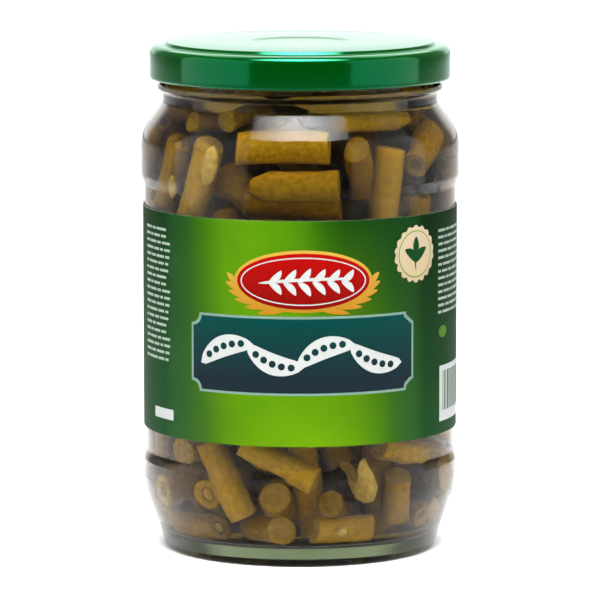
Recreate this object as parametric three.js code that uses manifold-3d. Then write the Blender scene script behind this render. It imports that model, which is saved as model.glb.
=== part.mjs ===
import * as THREE from "three";
import { mergeVertices } from "three/addons/utils/BufferGeometryUtils.js";
import Module from "manifold-3d";

const wasm = await Module();
wasm.setup();

// A sealed twist-off jar of cut green beans, in millimetres. The origin is the middle of the ring that
// the jar stands on, +Z is up and the label's front faces -Y.

// Driving dimensions of the glass
const ROUND_SIDES = 48;
const BODY_RADIUS = 45.6;
const PANEL_RADIUS = 44.6;
const HEEL_BEAD_RADIUS = 45.35;
const NECK_RADIUS = 39.35;
const TRANSFER_BEAD_RADIUS = 40.9;
const FINISH_RADIUS = 39.4;
const BORE_RADIUS = 36.5;
const BORE_FOOT = 128.6;
const INNER_RADIUS = 42.6;
const INNER_HEAD = 119;
const INNER_FOOT = 18;
const FLOOR_RADIUS = 37.4;
const FLOOR_HEIGHT = 5.8;
const PUSH_UP = 2.4;
const RIM_HEIGHT = 143.2;
const FINISH_FOOT = 134.9;

// Driving dimensions of the lid
const LID_TOP = 146;
const LID_RADIUS = 43.1;
const SHEET = 0.45;
const PANEL_EDGE_RADIUS = 38.4;
const LEDGE_HEIGHT = 145;
const SHOULDER_ROUND = 2.2;
const BUTTON_RADIUS = 13.5;
const BUTTON_DEPTH = 0.3;
const CURL_RADIUS = 0.85;
const CURL_CENTRE_RADIUS = 41.9;
const CURL_CENTRE_HEIGHT = 136.2;

// Driving dimensions of the closure: lugs under sloping threads
const LUG_COUNT = 6;
const FIRST_LUG_DEG = 20;
const LUG_TIP_RADIUS = 39.9;
const LUG_TOP = 136.7;
const LUG_BOTTOM = 135.6;
const LUG_WIDTH_DEG = 10;
const THREAD_RADIUS = 40.7;
const THREAD_ROOT_DEPTH = 0.6;
const THREAD_LEAST_DEPTH = 0.1;
const THREAD_ROOT_HEIGHT = 2;
const THREAD_CREST_HEIGHT = 0.7;
const THREAD_TAPER_DEG = 5;
const THREAD_START_HEIGHT = 137.6;
const THREAD_RISE_PER_DEG = 0.0375;
const THREAD_BEFORE_LUG_DEG = 9;
const THREAD_AFTER_LUG_DEG = 31;

// Driving dimensions of the liner, the label and the brine
const LINER_INNER_RADIUS = 36.6;
const LINER_OUTER_RADIUS = 41.2;
const LINER_FOOT = 143.5;
const FIT_GAP = 0.3;
const LABEL_INNER_RADIUS = 44.85;
const LABEL_THICKNESS = 0.3;
const LABEL_FOOT = 35.5;
const LABEL_HEAD = 99.3;
const LABEL_SEAM = 1.6;
const BRINE_LEVEL = 136.5;
const BRINE_UNDERSIDE = 131.8;
const MENISCUS = 0.4;

// Driving dimensions of the beans. Each piece keeps a room round itself, a round-ended rod whose caps stand
// a share of its radius inside its cut ends.
const BEAN_COUNT = 152;
const BEAN_SEED = 20261;
const DRAW_FACTOR = 48271;
const DRAW_COUNT = 2147483647;
const LEAST_SQUARE = 0.05;
const BEAN_SIDES = 7;
const BEAN_RADIUS = [4, 5];
const BEAN_LENGTH = [23, 36];
const BEAN_FLATNESS = [0.9, 0.98];
const BEAN_BEND = 0.5;
const CUT_SLANT = 0.7;
const TIP_SHARE = 0.14;
const TIP_TAPER = 0.4;
const TIP_START = 0.5;
const ROOM_SHARE = 1.1;
const ROOM_EXTRA = 0.17;
const CAP_SHARE = 0.45;
const WALL_GAP = 0.1;
const PILE_TOP = 131.4;

// How the loose pieces start: a share of them along the glass, the rest inside
const WALL_LAYER_SHARE = 0.52;
const WALL_LAYER_RADIUS = 37;
const CORE_RADIUS = 30;
const START_HEIGHT = [10, 126];
const WALL_LAYER_LEAN = 0.15;
const CORE_LEAN = 1.6;

// How the pieces settle: weights, drift per step, and how strongly the front ones stay where they were seen
const FRONT_WEIGHT = 0.04;
const SINK = 0.05;
const OUTWARD_DRIFT = 0.05 / 30;
const FRONT_DRIFT = 0.02 / 30;
const NEIGHBOUR_REACH = 3;
const STEPS_PER_SEARCH = 8;
const FALL_STEPS = 240;
const FALL_HOLD = 0.15;
const JOIN_STEPS = 150;
const JOIN_HOLD = 0.05;
const LAST_STEPS = 200;
const TINY = 1e-6;

// How pieces join into clusters
const MOST_CLUSTERS = 50;
const JOINED_SHARE = 0.8;
const HELD_SHARE = 0.84;
const WIDEST_JOIN_GAP = 2.6;
const JOIN_ROUNDS = 5;
const JOIN_INSET = 0.1;

// The pieces that lie against the front of the glass. Each is across and height of one end, across and
// height of the other end, the radius, and how far each end stands back from the glass.
const FRONT_PIECES = [
  [-17, 116, 8, 116.4, 4.2, 0, 0],
  [-15.5, 106.8, 11, 104.2, 4.8, 0, 0],
  [-23, 119, -29, 96, 4.4, 0.5, 0],
  [-31.5, 117.5, -35.5, 101, 4.1, 0.5, 0],
  [-37, 122, -38.5, 109, 3.8, 0, 0],
  [-37, 103, -22, 97, 4.2, 0, 16],
  [-30, 126, -17, 121, 3.6, 0, 15],
  [-21, 126, -10, 126, 4, 0, 16],
  [-20.5, 100, -14, 82, 4, 6, 1],
  [13, 119, 16.5, 103, 4, 0, 8],
  [24.5, 117.5, 22, 94, 4.4, 0, 0],
  [35.5, 121, 29.5, 112.5, 4.1, 0, 0],
  [12, 126, 31, 126, 4, 0, 0],
  [31, 104, 31.5, 86, 4.2, 0, 0],
  [37.5, 110, 37.5, 92, 3.9, 0, 0],
  [-23, 33, -15.5, 10.5, 4.3, 0, 0],
  [-7.5, 19, 1, 12.5, 4.6, 0, 15],
  [-15.8, 35, 3.8, 23.5, 4.1, 0, 0],
  [15.6, 27.5, 15.8, 15, 4.6, 0, 0],
  [8, 17, 9, 14, 3.8, 1, 20],
  [3.5, 10.5, 20, 8.8, 4.4, 2, 0],
  [26.5, 24, 25, 11, 4.1, 0, 0],
  [21, 33.5, 33, 28.5, 4.1, 0, 0],
  [33.5, 46, 37.5, 32, 4, 0, 0],
  [33, 12, 18, 17, 4.1, 0, 17],
  [-35, 16, -20, 22, 4.2, 0, 16],
  [-38, 37, -38, 24, 4, 0, 0],
  [-31, 30.5, -18, 34, 4.2, 0, 18],
  [-26, 18, -12, 23, 4.2, 0, 18],
  [-34, 8.5, -21.5, 8.5, 4.1, 0, 1],
  [-4, 10, -14, 9, 4.4, 1, 14],
  [37, 21.5, 24, 19, 4, 0, 18],
];

const materials = {
  glass: new THREE.MeshStandardMaterial({
    color: 0xd8e4dc,
    roughness: 0.05,
    metalness: 0,
    transparent: true,
    opacity: 0.3,
  }),
  lid: new THREE.MeshStandardMaterial({ color: 0x04703a, roughness: 0.22, metalness: 0.35 }),
  liner: new THREE.MeshStandardMaterial({ color: 0xe6e2d4, roughness: 0.6, metalness: 0 }),
  label: new THREE.MeshStandardMaterial({ color: 0x5c9a14, roughness: 0.45, metalness: 0 }),
  brine: new THREE.MeshStandardMaterial({
    color: 0xb9a35a,
    roughness: 0.03,
    metalness: 0,
    transparent: true,
    opacity: 0.35,
  }),
  bean: new THREE.MeshStandardMaterial({ color: 0x7d5c1c, roughness: 0.4, metalness: 0 }),
};

// A closed mesh's geometry as a solid, with its faces turned outwards.
function solidFrom(geometry) {
  geometry.deleteAttribute("normal");
  geometry.deleteAttribute("uv");
  const merged = mergeVertices(geometry, 1e-4);
  const corners = [];
  const index = merged.index.array;
  for (let i = 0; i < index.length; i += 3) {
    const [a, b, c] = [index[i], index[i + 1], index[i + 2]];
    if (a !== b && b !== c && c !== a) corners.push(a, b, c);
  }
  const points = merged.attributes.position.array;
  if (enclosedVolume(points, corners) < 0) corners.reverse();
  return new wasm.Manifold(
    new wasm.Mesh({
      numProp: 3,
      vertProperties: new Float32Array(points),
      triVerts: new Uint32Array(corners),
    }),
  );
}

function enclosedVolume(points, corners) {
  const [a, b, c] = [new THREE.Vector3(), new THREE.Vector3(), new THREE.Vector3()];
  let volume = 0;
  for (let i = 0; i < corners.length; i += 3) {
    a.fromArray(points, corners[i] * 3);
    b.fromArray(points, corners[i + 1] * 3);
    c.fromArray(points, corners[i + 2] * 3);
    volume += a.dot(b.cross(c)) / 6;
  }
  return volume;
}

// A solid as a named mesh.
function meshOf(name, solid, material) {
  const { vertProperties, triVerts, numProp, numVert } = solid.getMesh();
  const points = new Float32Array(numVert * 3);
  for (let i = 0; i < numVert; i++)
    points.set(vertProperties.subarray(i * numProp, i * numProp + 3), i * 3);
  const geometry = new THREE.BufferGeometry();
  geometry.setAttribute("position", new THREE.BufferAttribute(points, 3));
  geometry.setIndex(new THREE.BufferAttribute(triVerts, 1));
  geometry.computeVertexNormals();
  const mesh = new THREE.Mesh(geometry, material);
  mesh.name = name;
  return mesh;
}

// An outline of [radius, height] corners. A corner with a third value is rounded to that radius, in as
// many steps as its fourth value says.
function outline(corners) {
  const path = corners.map(([r, z]) => new THREE.Vector2(r, z));
  const points = [];
  corners.forEach(([, , round, steps = 2], i) => {
    if (!round) {
      points.push(path[i]);
      return;
    }
    const back = path[i - 1].clone().sub(path[i]).normalize();
    const ahead = path[i + 1].clone().sub(path[i]).normalize();
    const half = Math.acos(back.dot(ahead)) / 2;
    const centre = back
      .clone()
      .add(ahead)
      .normalize()
      .multiplyScalar(round / Math.sin(half))
      .add(path[i]);
    const tangent = round / Math.tan(half);
    const from = back.clone().multiplyScalar(tangent).add(path[i]).sub(centre);
    const to = ahead.clone().multiplyScalar(tangent).add(path[i]).sub(centre);
    const sweep = Math.atan2(from.cross(to), from.dot(to));
    for (let step = 0; step <= steps; step++) {
      const turned = from.clone().rotateAround(new THREE.Vector2(), (sweep * step) / steps);
      points.push(turned.add(centre));
    }
  });
  return points;
}

// A solid turned about the jar's axis.
function turned(points) {
  const geometry = new THREE.LatheGeometry(points, ROUND_SIDES);
  geometry.rotateX(Math.PI / 2);
  return solidFrom(geometry);
}

// A block bent round the jar's axis. Its outer radius and its middle height may change along the bend.
function bentBlock({ fromDeg, toDeg, inner, outerAt, middleAt, innerHeight, outerHeight, steps }) {
  const geometry = new THREE.BoxGeometry(1, 1, 1, steps, 1, 1);
  const place = geometry.attributes.position;
  for (let i = 0; i < place.count; i++) {
    const deg = fromDeg + (place.getX(i) + 0.5) * (toDeg - fromDeg);
    const isOuter = place.getY(i) > 0;
    const radius = isOuter ? outerAt(deg) : inner;
    const height = middleAt(deg) + place.getZ(i) * (isOuter ? outerHeight : innerHeight);
    const angle = THREE.MathUtils.degToRad(deg);
    place.setXYZ(i, radius * Math.cos(angle), radius * Math.sin(angle), height);
  }
  return solidFrom(geometry);
}

// The glass: push-up base, tapered heel, recessed label panel, shoulder, neck, transfer bead and finish.
function glassBody() {
  const outside = [
    [0, PUSH_UP],
    [31, PUSH_UP],
    [34, 0],
    [38.9, 0, 1, 1],
    [39.4, 2],
    [44.6, 16.8, 9, 1],
    [HEEL_BEAD_RADIUS, 21],
    [HEEL_BEAD_RADIUS, 26],
    [PANEL_RADIUS, 28.5],
    [PANEL_RADIUS, 105],
    [BODY_RADIUS, 108],
    [BODY_RADIUS, 120, 10, 3],
    [NECK_RADIUS, 128.5, 2, 1],
    [NECK_RADIUS, 131.4],
    [TRANSFER_BEAD_RADIUS, 132.7],
    [TRANSFER_BEAD_RADIUS, 133.9],
    [FINISH_RADIUS, FINISH_FOOT],
    [FINISH_RADIUS, RIM_HEIGHT, 1.1, 1],
  ];
  const inside = [
    [BORE_RADIUS + 0.4, RIM_HEIGHT, 1.1, 1],
    [BORE_RADIUS, 139],
    [BORE_RADIUS, BORE_FOOT, 3, 1],
    [INNER_RADIUS, INNER_HEAD, 9, 2],
    [INNER_RADIUS, INNER_FOOT, 9, 1],
    [FLOOR_RADIUS, FLOOR_HEIGHT, 4, 1],
    [0, FLOOR_HEIGHT],
  ];
  return turned(outline([...outside, ...inside]));
}

// One thread of the finish. A lug sits under its low end when the lid is tight.
function thread(lugDeg) {
  const start = lugDeg - THREAD_BEFORE_LUG_DEG;
  const end = lugDeg + THREAD_AFTER_LUG_DEG;
  const fullDepth = THREAD_RADIUS - FINISH_RADIUS;
  const stretch = (deg) => Math.min(deg - start, end - deg) / THREAD_TAPER_DEG;
  const climb = (deg) => Math.max(0, deg - lugDeg + LUG_WIDTH_DEG / 2) * THREAD_RISE_PER_DEG;
  return bentBlock({
    fromDeg: start,
    toDeg: end,
    inner: FINISH_RADIUS - THREAD_ROOT_DEPTH,
    outerAt: (deg) =>
      FINISH_RADIUS - THREAD_LEAST_DEPTH + (fullDepth + THREAD_LEAST_DEPTH) * Math.min(1, stretch(deg)),
    middleAt: (deg) => THREAD_START_HEIGHT + climb(deg),
    innerHeight: THREAD_ROOT_HEIGHT,
    outerHeight: THREAD_CREST_HEIGHT,
    steps: 6,
  });
}

// The lugs' bearings, clear of the corners of the sides.
const lugBearings = Array.from({ length: LUG_COUNT }, (_, i) => FIRST_LUG_DEG + (i * 360) / LUG_COUNT);

function jarGlass() {
  return lugBearings.reduce((glass, deg) => glass.add(thread(deg)), glassBody());
}

// The lid's sheet: pressed-in button, panel, step, ledge, rounded shoulder, skirt and rolled curl.
function lidSheet() {
  const skirtInner = LID_RADIUS - SHEET;
  const shoulderFoot = LEDGE_HEIGHT - SHOULDER_ROUND;
  const curlOuter = CURL_CENTRE_RADIUS + CURL_RADIUS;
  const above = [
    [0, LID_TOP - BUTTON_DEPTH],
    [BUTTON_RADIUS - 1, LID_TOP - BUTTON_DEPTH],
    [BUTTON_RADIUS + 1, LID_TOP],
    [PANEL_EDGE_RADIUS, LID_TOP],
    [PANEL_EDGE_RADIUS + 0.6, LEDGE_HEIGHT + 0.1],
    [LID_RADIUS, LEDGE_HEIGHT - 0.1, SHOULDER_ROUND, 2],
    [LID_RADIUS, CURL_CENTRE_HEIGHT + 2.1],
    [curlOuter, CURL_CENTRE_HEIGHT + 1.1],
  ];
  const curl = [0, -60, -120, 180, 120].map((deg) => {
    const angle = THREE.MathUtils.degToRad(deg);
    return [
      CURL_CENTRE_RADIUS + CURL_RADIUS * Math.cos(angle),
      CURL_CENTRE_HEIGHT + CURL_RADIUS * Math.sin(angle),
    ];
  });
  const below = [
    [curlOuter - SHEET, CURL_CENTRE_HEIGHT + 1.3],
    [skirtInner, CURL_CENTRE_HEIGHT + 2.3],
    [skirtInner, shoulderFoot],
    [skirtInner - 0.6, LEDGE_HEIGHT - SHEET - 0.65],
    [skirtInner - 1.75, LEDGE_HEIGHT - SHEET],
    [PANEL_EDGE_RADIUS + 0.3, LEDGE_HEIGHT + 0.05 - SHEET],
    [PANEL_EDGE_RADIUS - 0.3, LID_TOP - SHEET],
    [BUTTON_RADIUS + 1.1, LID_TOP - SHEET],
    [BUTTON_RADIUS - 0.9, LID_TOP - BUTTON_DEPTH - SHEET],
    [0, LID_TOP - BUTTON_DEPTH - SHEET],
  ];
  return turned(outline([...above, ...curl, ...below]));
}

function lug(lugDeg) {
  return bentBlock({
    fromDeg: lugDeg - LUG_WIDTH_DEG / 2,
    toDeg: lugDeg + LUG_WIDTH_DEG / 2,
    inner: LUG_TIP_RADIUS,
    outerAt: () => CURL_CENTRE_RADIUS,
    middleAt: () => (LUG_TOP + LUG_BOTTOM) / 2,
    innerHeight: LUG_TOP - LUG_BOTTOM,
    outerHeight: LUG_TOP - LUG_BOTTOM,
    steps: 2,
  });
}

function lidShell() {
  return lugBearings.reduce((lid, deg) => lid.add(lug(deg)), lidSheet());
}

// The soft ring that seals the lid on the rim. It fills the step between the panel and the ledge.
function lidLiner() {
  const panelUnderside = LID_TOP - SHEET - FIT_GAP;
  const ledgeUnderside = LEDGE_HEIGHT - SHEET - FIT_GAP;
  const section = [
    [LINER_INNER_RADIUS, LINER_FOOT],
    [LINER_OUTER_RADIUS, LINER_FOOT],
    [LINER_OUTER_RADIUS, ledgeUnderside - 0.15],
    [PANEL_EDGE_RADIUS, ledgeUnderside],
    [PANEL_EDGE_RADIUS - 0.8, panelUnderside],
    [LINER_INNER_RADIUS, panelUnderside],
    [LINER_INNER_RADIUS, LINER_FOOT],
  ];
  return turned(outline(section));
}

// The paper label, wrapped once round the recessed panel, with its seam at the back.
function label() {
  const seamHalf = LABEL_SEAM / 2 / LABEL_INNER_RADIUS;
  const step = (2 * Math.PI) / ROUND_SIDES;
  const bearings = [seamHalf];
  for (let i = 1; i < ROUND_SIDES; i++) bearings.push(i * step);
  bearings.push(2 * Math.PI - seamHalf);
  const arc = (radius) =>
    bearings.map((a) => new THREE.Vector2(-radius * Math.sin(a), radius * Math.cos(a)));
  const strip = new THREE.Shape([
    ...arc(LABEL_INNER_RADIUS + LABEL_THICKNESS),
    ...arc(LABEL_INNER_RADIUS).reverse(),
  ]);
  const geometry = new THREE.ExtrudeGeometry(strip, {
    depth: LABEL_HEAD - LABEL_FOOT,
    bevelEnabled: false,
  });
  geometry.translate(0, 0, LABEL_FOOT);
  return solidFrom(geometry);
}

// The clear brine that stands above the beans in the neck, with its edge drawn up the glass.
function brine() {
  const edge = BORE_RADIUS - FIT_GAP;
  const section = [
    [0, BRINE_UNDERSIDE],
    [edge, BRINE_UNDERSIDE],
    [edge, BRINE_LEVEL + MENISCUS],
    [edge - MENISCUS, BRINE_LEVEL],
    [0, BRINE_LEVEL],
  ];
  return turned(outline(section));
}

// The inside of the glass as flat walls turned about the axis: each has an outward share, an upward share
// and its distance. The faceted wall's flats stand a little inside its corners.
const FLAT_SHARE = Math.cos(Math.PI / ROUND_SIDES);
const innerReach = INNER_RADIUS * FLAT_SHARE;
const walls = [
  wallThrough([innerReach, INNER_FOOT], [innerReach, INNER_HEAD]),
  wallThrough([FLOOR_RADIUS * FLAT_SHARE, FLOOR_HEIGHT], [innerReach, INNER_FOOT]),
  wallThrough([innerReach, INNER_HEAD], [BORE_RADIUS * FLAT_SHARE, BORE_FOOT]),
  { out: 0, up: -1, reach: -FLOOR_HEIGHT },
  { out: 0, up: 1, reach: PILE_TOP },
];

function wallThrough([lowRadius, lowHeight], [highRadius, highHeight]) {
  const across = highRadius - lowRadius;
  const rise = highHeight - lowHeight;
  const length = Math.sqrt(across * across + rise * rise);
  const out = rise / length;
  const up = -across / length;
  return { out, up, reach: lowRadius * out + lowHeight * up };
}

// A repeatable draw between 0 and 1.
let drawState = BEAN_SEED;
function draw() {
  drawState = (drawState * DRAW_FACTOR) % DRAW_COUNT;
  return drawState / DRAW_COUNT;
}

function drawBetween([low, high]) {
  return low + (high - low) * draw();
}

// A direction in a plane, every bearing as likely.
function drawBearing() {
  for (;;) {
    const x = 2 * draw() - 1;
    const y = 2 * draw() - 1;
    const square = x * x + y * y;
    if (square > LEAST_SQUARE && square < 1) {
      const length = Math.sqrt(square);
      return [x / length, y / length];
    }
  }
}

// What makes each piece its own: its roll, flatness, bend, slanted cuts and, now and then, a pod's tip.
function drawForm() {
  return {
    roll: drawBearing(),
    flatness: drawBetween(BEAN_FLATNESS),
    bend: BEAN_BEND * (2 * draw() - 1),
    cuts: [
      { slant: CUT_SLANT * draw() * draw(), towards: drawBearing() },
      { slant: CUT_SLANT * draw() * draw(), towards: drawBearing() },
    ],
    hasTip: draw() < TIP_SHARE,
  };
}

function beanBetween(start, end, radius, weight, drift, home) {
  const spanX = end[0] - start[0];
  const spanY = end[1] - start[1];
  const spanZ = end[2] - start[2];
  const span = Math.sqrt(spanX * spanX + spanY * spanY + spanZ * spanZ);
  const room = ROOM_SHARE * radius + ROOM_EXTRA;
  return { a: start, b: end, radius, room, span, weight, drift, home, form: drawForm() };
}

// A piece seen at the front: its ends lie on the glass, or as far behind it as the list says.
function frontBean([acrossA, heightA, acrossB, heightB, radius, backA, backB]) {
  const room = ROOM_SHARE * radius + ROOM_EXTRA;
  const place = (across, height, back) => {
    const reach = innerReach - WALL_GAP - room - back;
    const square = reach * reach - across * across;
    return [across, square > 1 ? -Math.sqrt(square) : -1, height];
  };
  const a = place(acrossA, heightA, backA);
  const b = place(acrossB, heightB, backB);
  const d = [b[0] - a[0], b[1] - a[1], b[2] - a[2]];
  const cap = (CAP_SHARE * radius) / Math.sqrt(d[0] * d[0] + d[1] * d[1] + d[2] * d[2]);
  const start = [a[0] + d[0] * cap, a[1] + d[1] * cap, a[2] + d[2] * cap];
  const end = [b[0] - d[0] * cap, b[1] - d[1] * cap, b[2] - d[2] * cap];
  return beanBetween(start, end, radius, FRONT_WEIGHT, FRONT_DRIFT, [...start, ...end]);
}

function looseBean() {
  const radius = drawBetween(BEAN_RADIUS);
  const span = drawBetween(BEAN_LENGTH) - 2 * CAP_SHARE * radius;
  const [outX, outY] = drawBearing();
  const isWallLayer = draw() < WALL_LAYER_SHARE;
  const reach = isWallLayer ? WALL_LAYER_RADIUS : CORE_RADIUS * Math.sqrt(draw());
  const height = drawBetween(START_HEIGHT);
  const [along, up] = drawBearing();
  const lean = (isWallLayer ? WALL_LAYER_LEAN : CORE_LEAN) * (draw() - 0.5);
  const half = span / 2 / Math.sqrt(1 + lean * lean);
  const dx = (outX * lean - outY * along) * half;
  const dy = (outY * lean + outX * along) * half;
  const dz = up * half;
  const start = [outX * reach - dx, outY * reach - dy, height - dz];
  const end = [outX * reach + dx, outY * reach + dy, height + dz];
  return beanBetween(start, end, radius, 1, isWallLayer ? OUTWARD_DRIFT : 0, null);
}

function clampShare(value) {
  return value < 0 ? 0 : value > 1 ? 1 : value;
}

// The step from a share along one piece's axis to a share along another's.
function stepBetween(p, q, s, t) {
  const x = q.a[0] + (q.b[0] - q.a[0]) * t - p.a[0] - (p.b[0] - p.a[0]) * s;
  const y = q.a[1] + (q.b[1] - q.a[1]) * t - p.a[1] - (p.b[1] - p.a[1]) * s;
  const z = q.a[2] + (q.b[2] - q.a[2]) * t - p.a[2] - (p.b[2] - p.a[2]) * s;
  return { s, t, x, y, z, distance: Math.sqrt(x * x + y * y + z * z) };
}

// Where the axes of two pieces come closest.
function closestStep(p, q) {
  const ux = p.b[0] - p.a[0];
  const uy = p.b[1] - p.a[1];
  const uz = p.b[2] - p.a[2];
  const vx = q.b[0] - q.a[0];
  const vy = q.b[1] - q.a[1];
  const vz = q.b[2] - q.a[2];
  const wx = p.a[0] - q.a[0];
  const wy = p.a[1] - q.a[1];
  const wz = p.a[2] - q.a[2];
  const uu = ux * ux + uy * uy + uz * uz;
  const uv = ux * vx + uy * vy + uz * vz;
  const vv = vx * vx + vy * vy + vz * vz;
  const uw = ux * wx + uy * wy + uz * wz;
  const vw = vx * wx + vy * wy + vz * wz;
  const spread = uu * vv - uv * uv;
  const nearlyParallel = spread <= TINY * uu * vv;
  let s = nearlyParallel ? 0.5 : clampShare((uv * vw - vv * uw) / spread);
  let t = (uv * s + vw) / vv;
  if (t < 0 || t > 1) {
    t = clampShare(t);
    s = clampShare((uv * t - uw) / uu);
  }
  return stepBetween(p, q, s, t);
}

// Moves two pieces apart by an amount, or together where it is negative, along the step between them.
function part(p, q, { s, t, x, y, z, distance }, amount) {
  const pStart = p.weight * (1 - s);
  const pEnd = p.weight * s;
  const qStart = q.weight * (1 - t);
  const qEnd = q.weight * t;
  const share = pStart * (1 - s) + pEnd * s + qStart * (1 - t) + qEnd * t;
  const step = amount / share / (distance > TINY ? distance : TINY);
  shift(p.a, x, y, z, -step * pStart);
  shift(p.b, x, y, z, -step * pEnd);
  shift(q.a, x, y, z, step * qStart);
  shift(q.b, x, y, z, step * qEnd);
}

function shift(point, x, y, z, amount) {
  point[0] += x * amount;
  point[1] += y * amount;
  point[2] += z * amount;
}

function keepSpan({ a, b, span }) {
  const x = b[0] - a[0];
  const y = b[1] - a[1];
  const z = b[2] - a[2];
  const give = (span / Math.sqrt(x * x + y * y + z * z) - 1) / 2;
  shift(a, x, y, z, -give);
  shift(b, x, y, z, give);
}

function keepInside(point, room) {
  for (const { out, up, reach } of walls) {
    const radial = Math.sqrt(point[0] * point[0] + point[1] * point[1]);
    const over = radial * out + point[2] * up - reach + room + WALL_GAP;
    if (over > 0) {
      const scale = 1 - (over * out) / radial;
      point[0] *= scale;
      point[1] *= scale;
      point[2] -= over * up;
    }
  }
}

// The pairs of pieces that are near enough to touch soon.
function nearPairs(beans) {
  const pairs = [];
  for (let i = 0; i < beans.length; i++)
    for (let j = i + 1; j < beans.length; j++) {
      const p = beans[i];
      const q = beans[j];
      const x = p.a[0] + p.b[0] - q.a[0] - q.b[0];
      const y = p.a[1] + p.b[1] - q.a[1] - q.b[1];
      const z = p.a[2] + p.b[2] - q.a[2] - q.b[2];
      const reach = p.span + q.span + 2 * (p.room + q.room + NEIGHBOUR_REACH);
      if (x * x + y * y + z * z < reach * reach) pairs.push([i, j]);
    }
  return pairs;
}

const pairKey = (i, j) => i * BEAN_COUNT + j;

// Lets the pieces push each other apart inside the glass, while joined pieces are drawn together.
function settle(beans, { steps, sink = 0, drift = 0, hold = 0, joins = new Map() }) {
  let pairs = [];
  for (let step = 0; step < steps; step++) {
    if (step % STEPS_PER_SEARCH === 0) pairs = nearPairs(beans);
    for (const bean of beans) {
      const outward = 1 + drift * bean.drift;
      for (const point of [bean.a, bean.b]) {
        point[0] *= outward;
        point[1] *= outward;
        point[2] -= sink * bean.weight;
      }
      if (bean.home)
        for (let k = 0; k < 3; k++) {
          bean.a[k] += (bean.home[k] - bean.a[k]) * hold;
          bean.b[k] += (bean.home[k + 3] - bean.b[k]) * hold;
        }
    }
    for (const [i, j] of pairs) pushPair(beans[i], beans[j], joins.get(pairKey(i, j)));
    for (const bean of beans) {
      keepSpan(bean);
      keepInside(bean.a, bean.room);
      keepInside(bean.b, bean.room);
    }
  }
}

function pushPair(p, q, join) {
  const near = closestStep(p, q);
  const apart = join ? JOINED_SHARE * (p.radius + q.radius) : p.room + q.room;
  if (near.distance < apart) {
    part(p, q, near, apart - near.distance);
  } else if (join) {
    const held = stepBetween(p, q, join.s, join.t);
    if (held.distance > apart) part(p, q, held, apart - held.distance);
  }
}

// Adds to the joins that hold already, so that the pile is a limited number of clusters: the smallest cluster
// joins its smallest neighbour, again and again.
function chooseJoins(beans, held) {
  const isInner = (share) => share > JOIN_INSET && share < 1 - JOIN_INSET;
  const links = [];
  for (const [i, j] of nearPairs(beans)) {
    const { s, t, distance } = closestStep(beans[i], beans[j]);
    const gap = distance - beans[i].room - beans[j].room;
    if (gap < WIDEST_JOIN_GAP && isInner(s) && isInner(t)) links.push({ i, j, s, t, gap });
  }
  links.sort((p, q) => p.gap - q.gap || p.i - q.i || p.j - q.j);
  const owner = ownersOf(beans, held);
  const sizes = beans.map((_, g) => owner.filter((o) => o === g).length);
  const joins = new Map(held);
  const lonely = new Set();
  let count = sizes.filter((size) => size > 0).length;
  while (count > MOST_CLUSTERS) {
    let least = -1;
    for (let g = 0; g < sizes.length; g++)
      if (sizes[g] > 0 && !lonely.has(g) && (least < 0 || sizes[g] < sizes[least])) least = g;
    if (least < 0) break;
    let best = null;
    let bestHost = -1;
    for (const link of links) {
      const [one, other] = [owner[link.i], owner[link.j]];
      if (one === other || (one !== least && other !== least)) continue;
      const host = one === least ? other : one;
      if (!best || sizes[host] < sizes[bestHost]) {
        best = link;
        bestHost = host;
      }
    }
    if (!best) {
      lonely.add(least);
      continue;
    }
    joins.set(pairKey(best.i, best.j), best);
    for (let i = 0; i < owner.length; i++) if (owner[i] === least) owner[i] = bestHost;
    sizes[bestHost] += sizes[least];
    sizes[least] = 0;
    count--;
  }
  return joins;
}

// Keeps the joins that did come together, and lets go of the rest.
function keepHeld(beans, joins) {
  const held = new Map();
  for (const [key, join] of joins) {
    const p = beans[join.i];
    const q = beans[join.j];
    const { distance } = stepBetween(p, q, join.s, join.t);
    if (distance < HELD_SHARE * (p.radius + q.radius)) held.set(key, join);
  }
  return held;
}

// The cluster that each piece is in, named by its lowest piece.
function ownersOf(beans, joins) {
  const owner = beans.map((_, i) => i);
  for (const { i, j } of joins.values()) {
    const [from, to] = [Math.max(owner[i], owner[j]), Math.min(owner[i], owner[j])];
    for (let k = 0; k < owner.length; k++) if (owner[k] === from) owner[k] = to;
  }
  return owner;
}

// The pieces of each cluster, as lists of their numbers.
function clustersOf(beans, joins) {
  const owner = ownersOf(beans, joins);
  const clusters = owner.map((_, g) => owner.flatMap((o, i) => (o === g ? [i] : [])));
  return clusters.filter((members) => members.length);
}

function packBeans() {
  const beans = FRONT_PIECES.map(frontBean);
  while (beans.length < BEAN_COUNT) beans.push(looseBean());
  settle(beans, { steps: FALL_STEPS, sink: SINK, drift: 1, hold: FALL_HOLD });
  let joins = new Map();
  for (let round = 0; round < JOIN_ROUNDS; round++) {
    joins = chooseJoins(beans, keepHeld(beans, joins));
    settle(beans, { steps: JOIN_STEPS, hold: JOIN_HOLD, joins });
  }
  joins = keepHeld(beans, joins);
  settle(beans, { steps: LAST_STEPS, joins });
  return { beans, clusters: clustersOf(beans, joins) };
}

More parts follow.
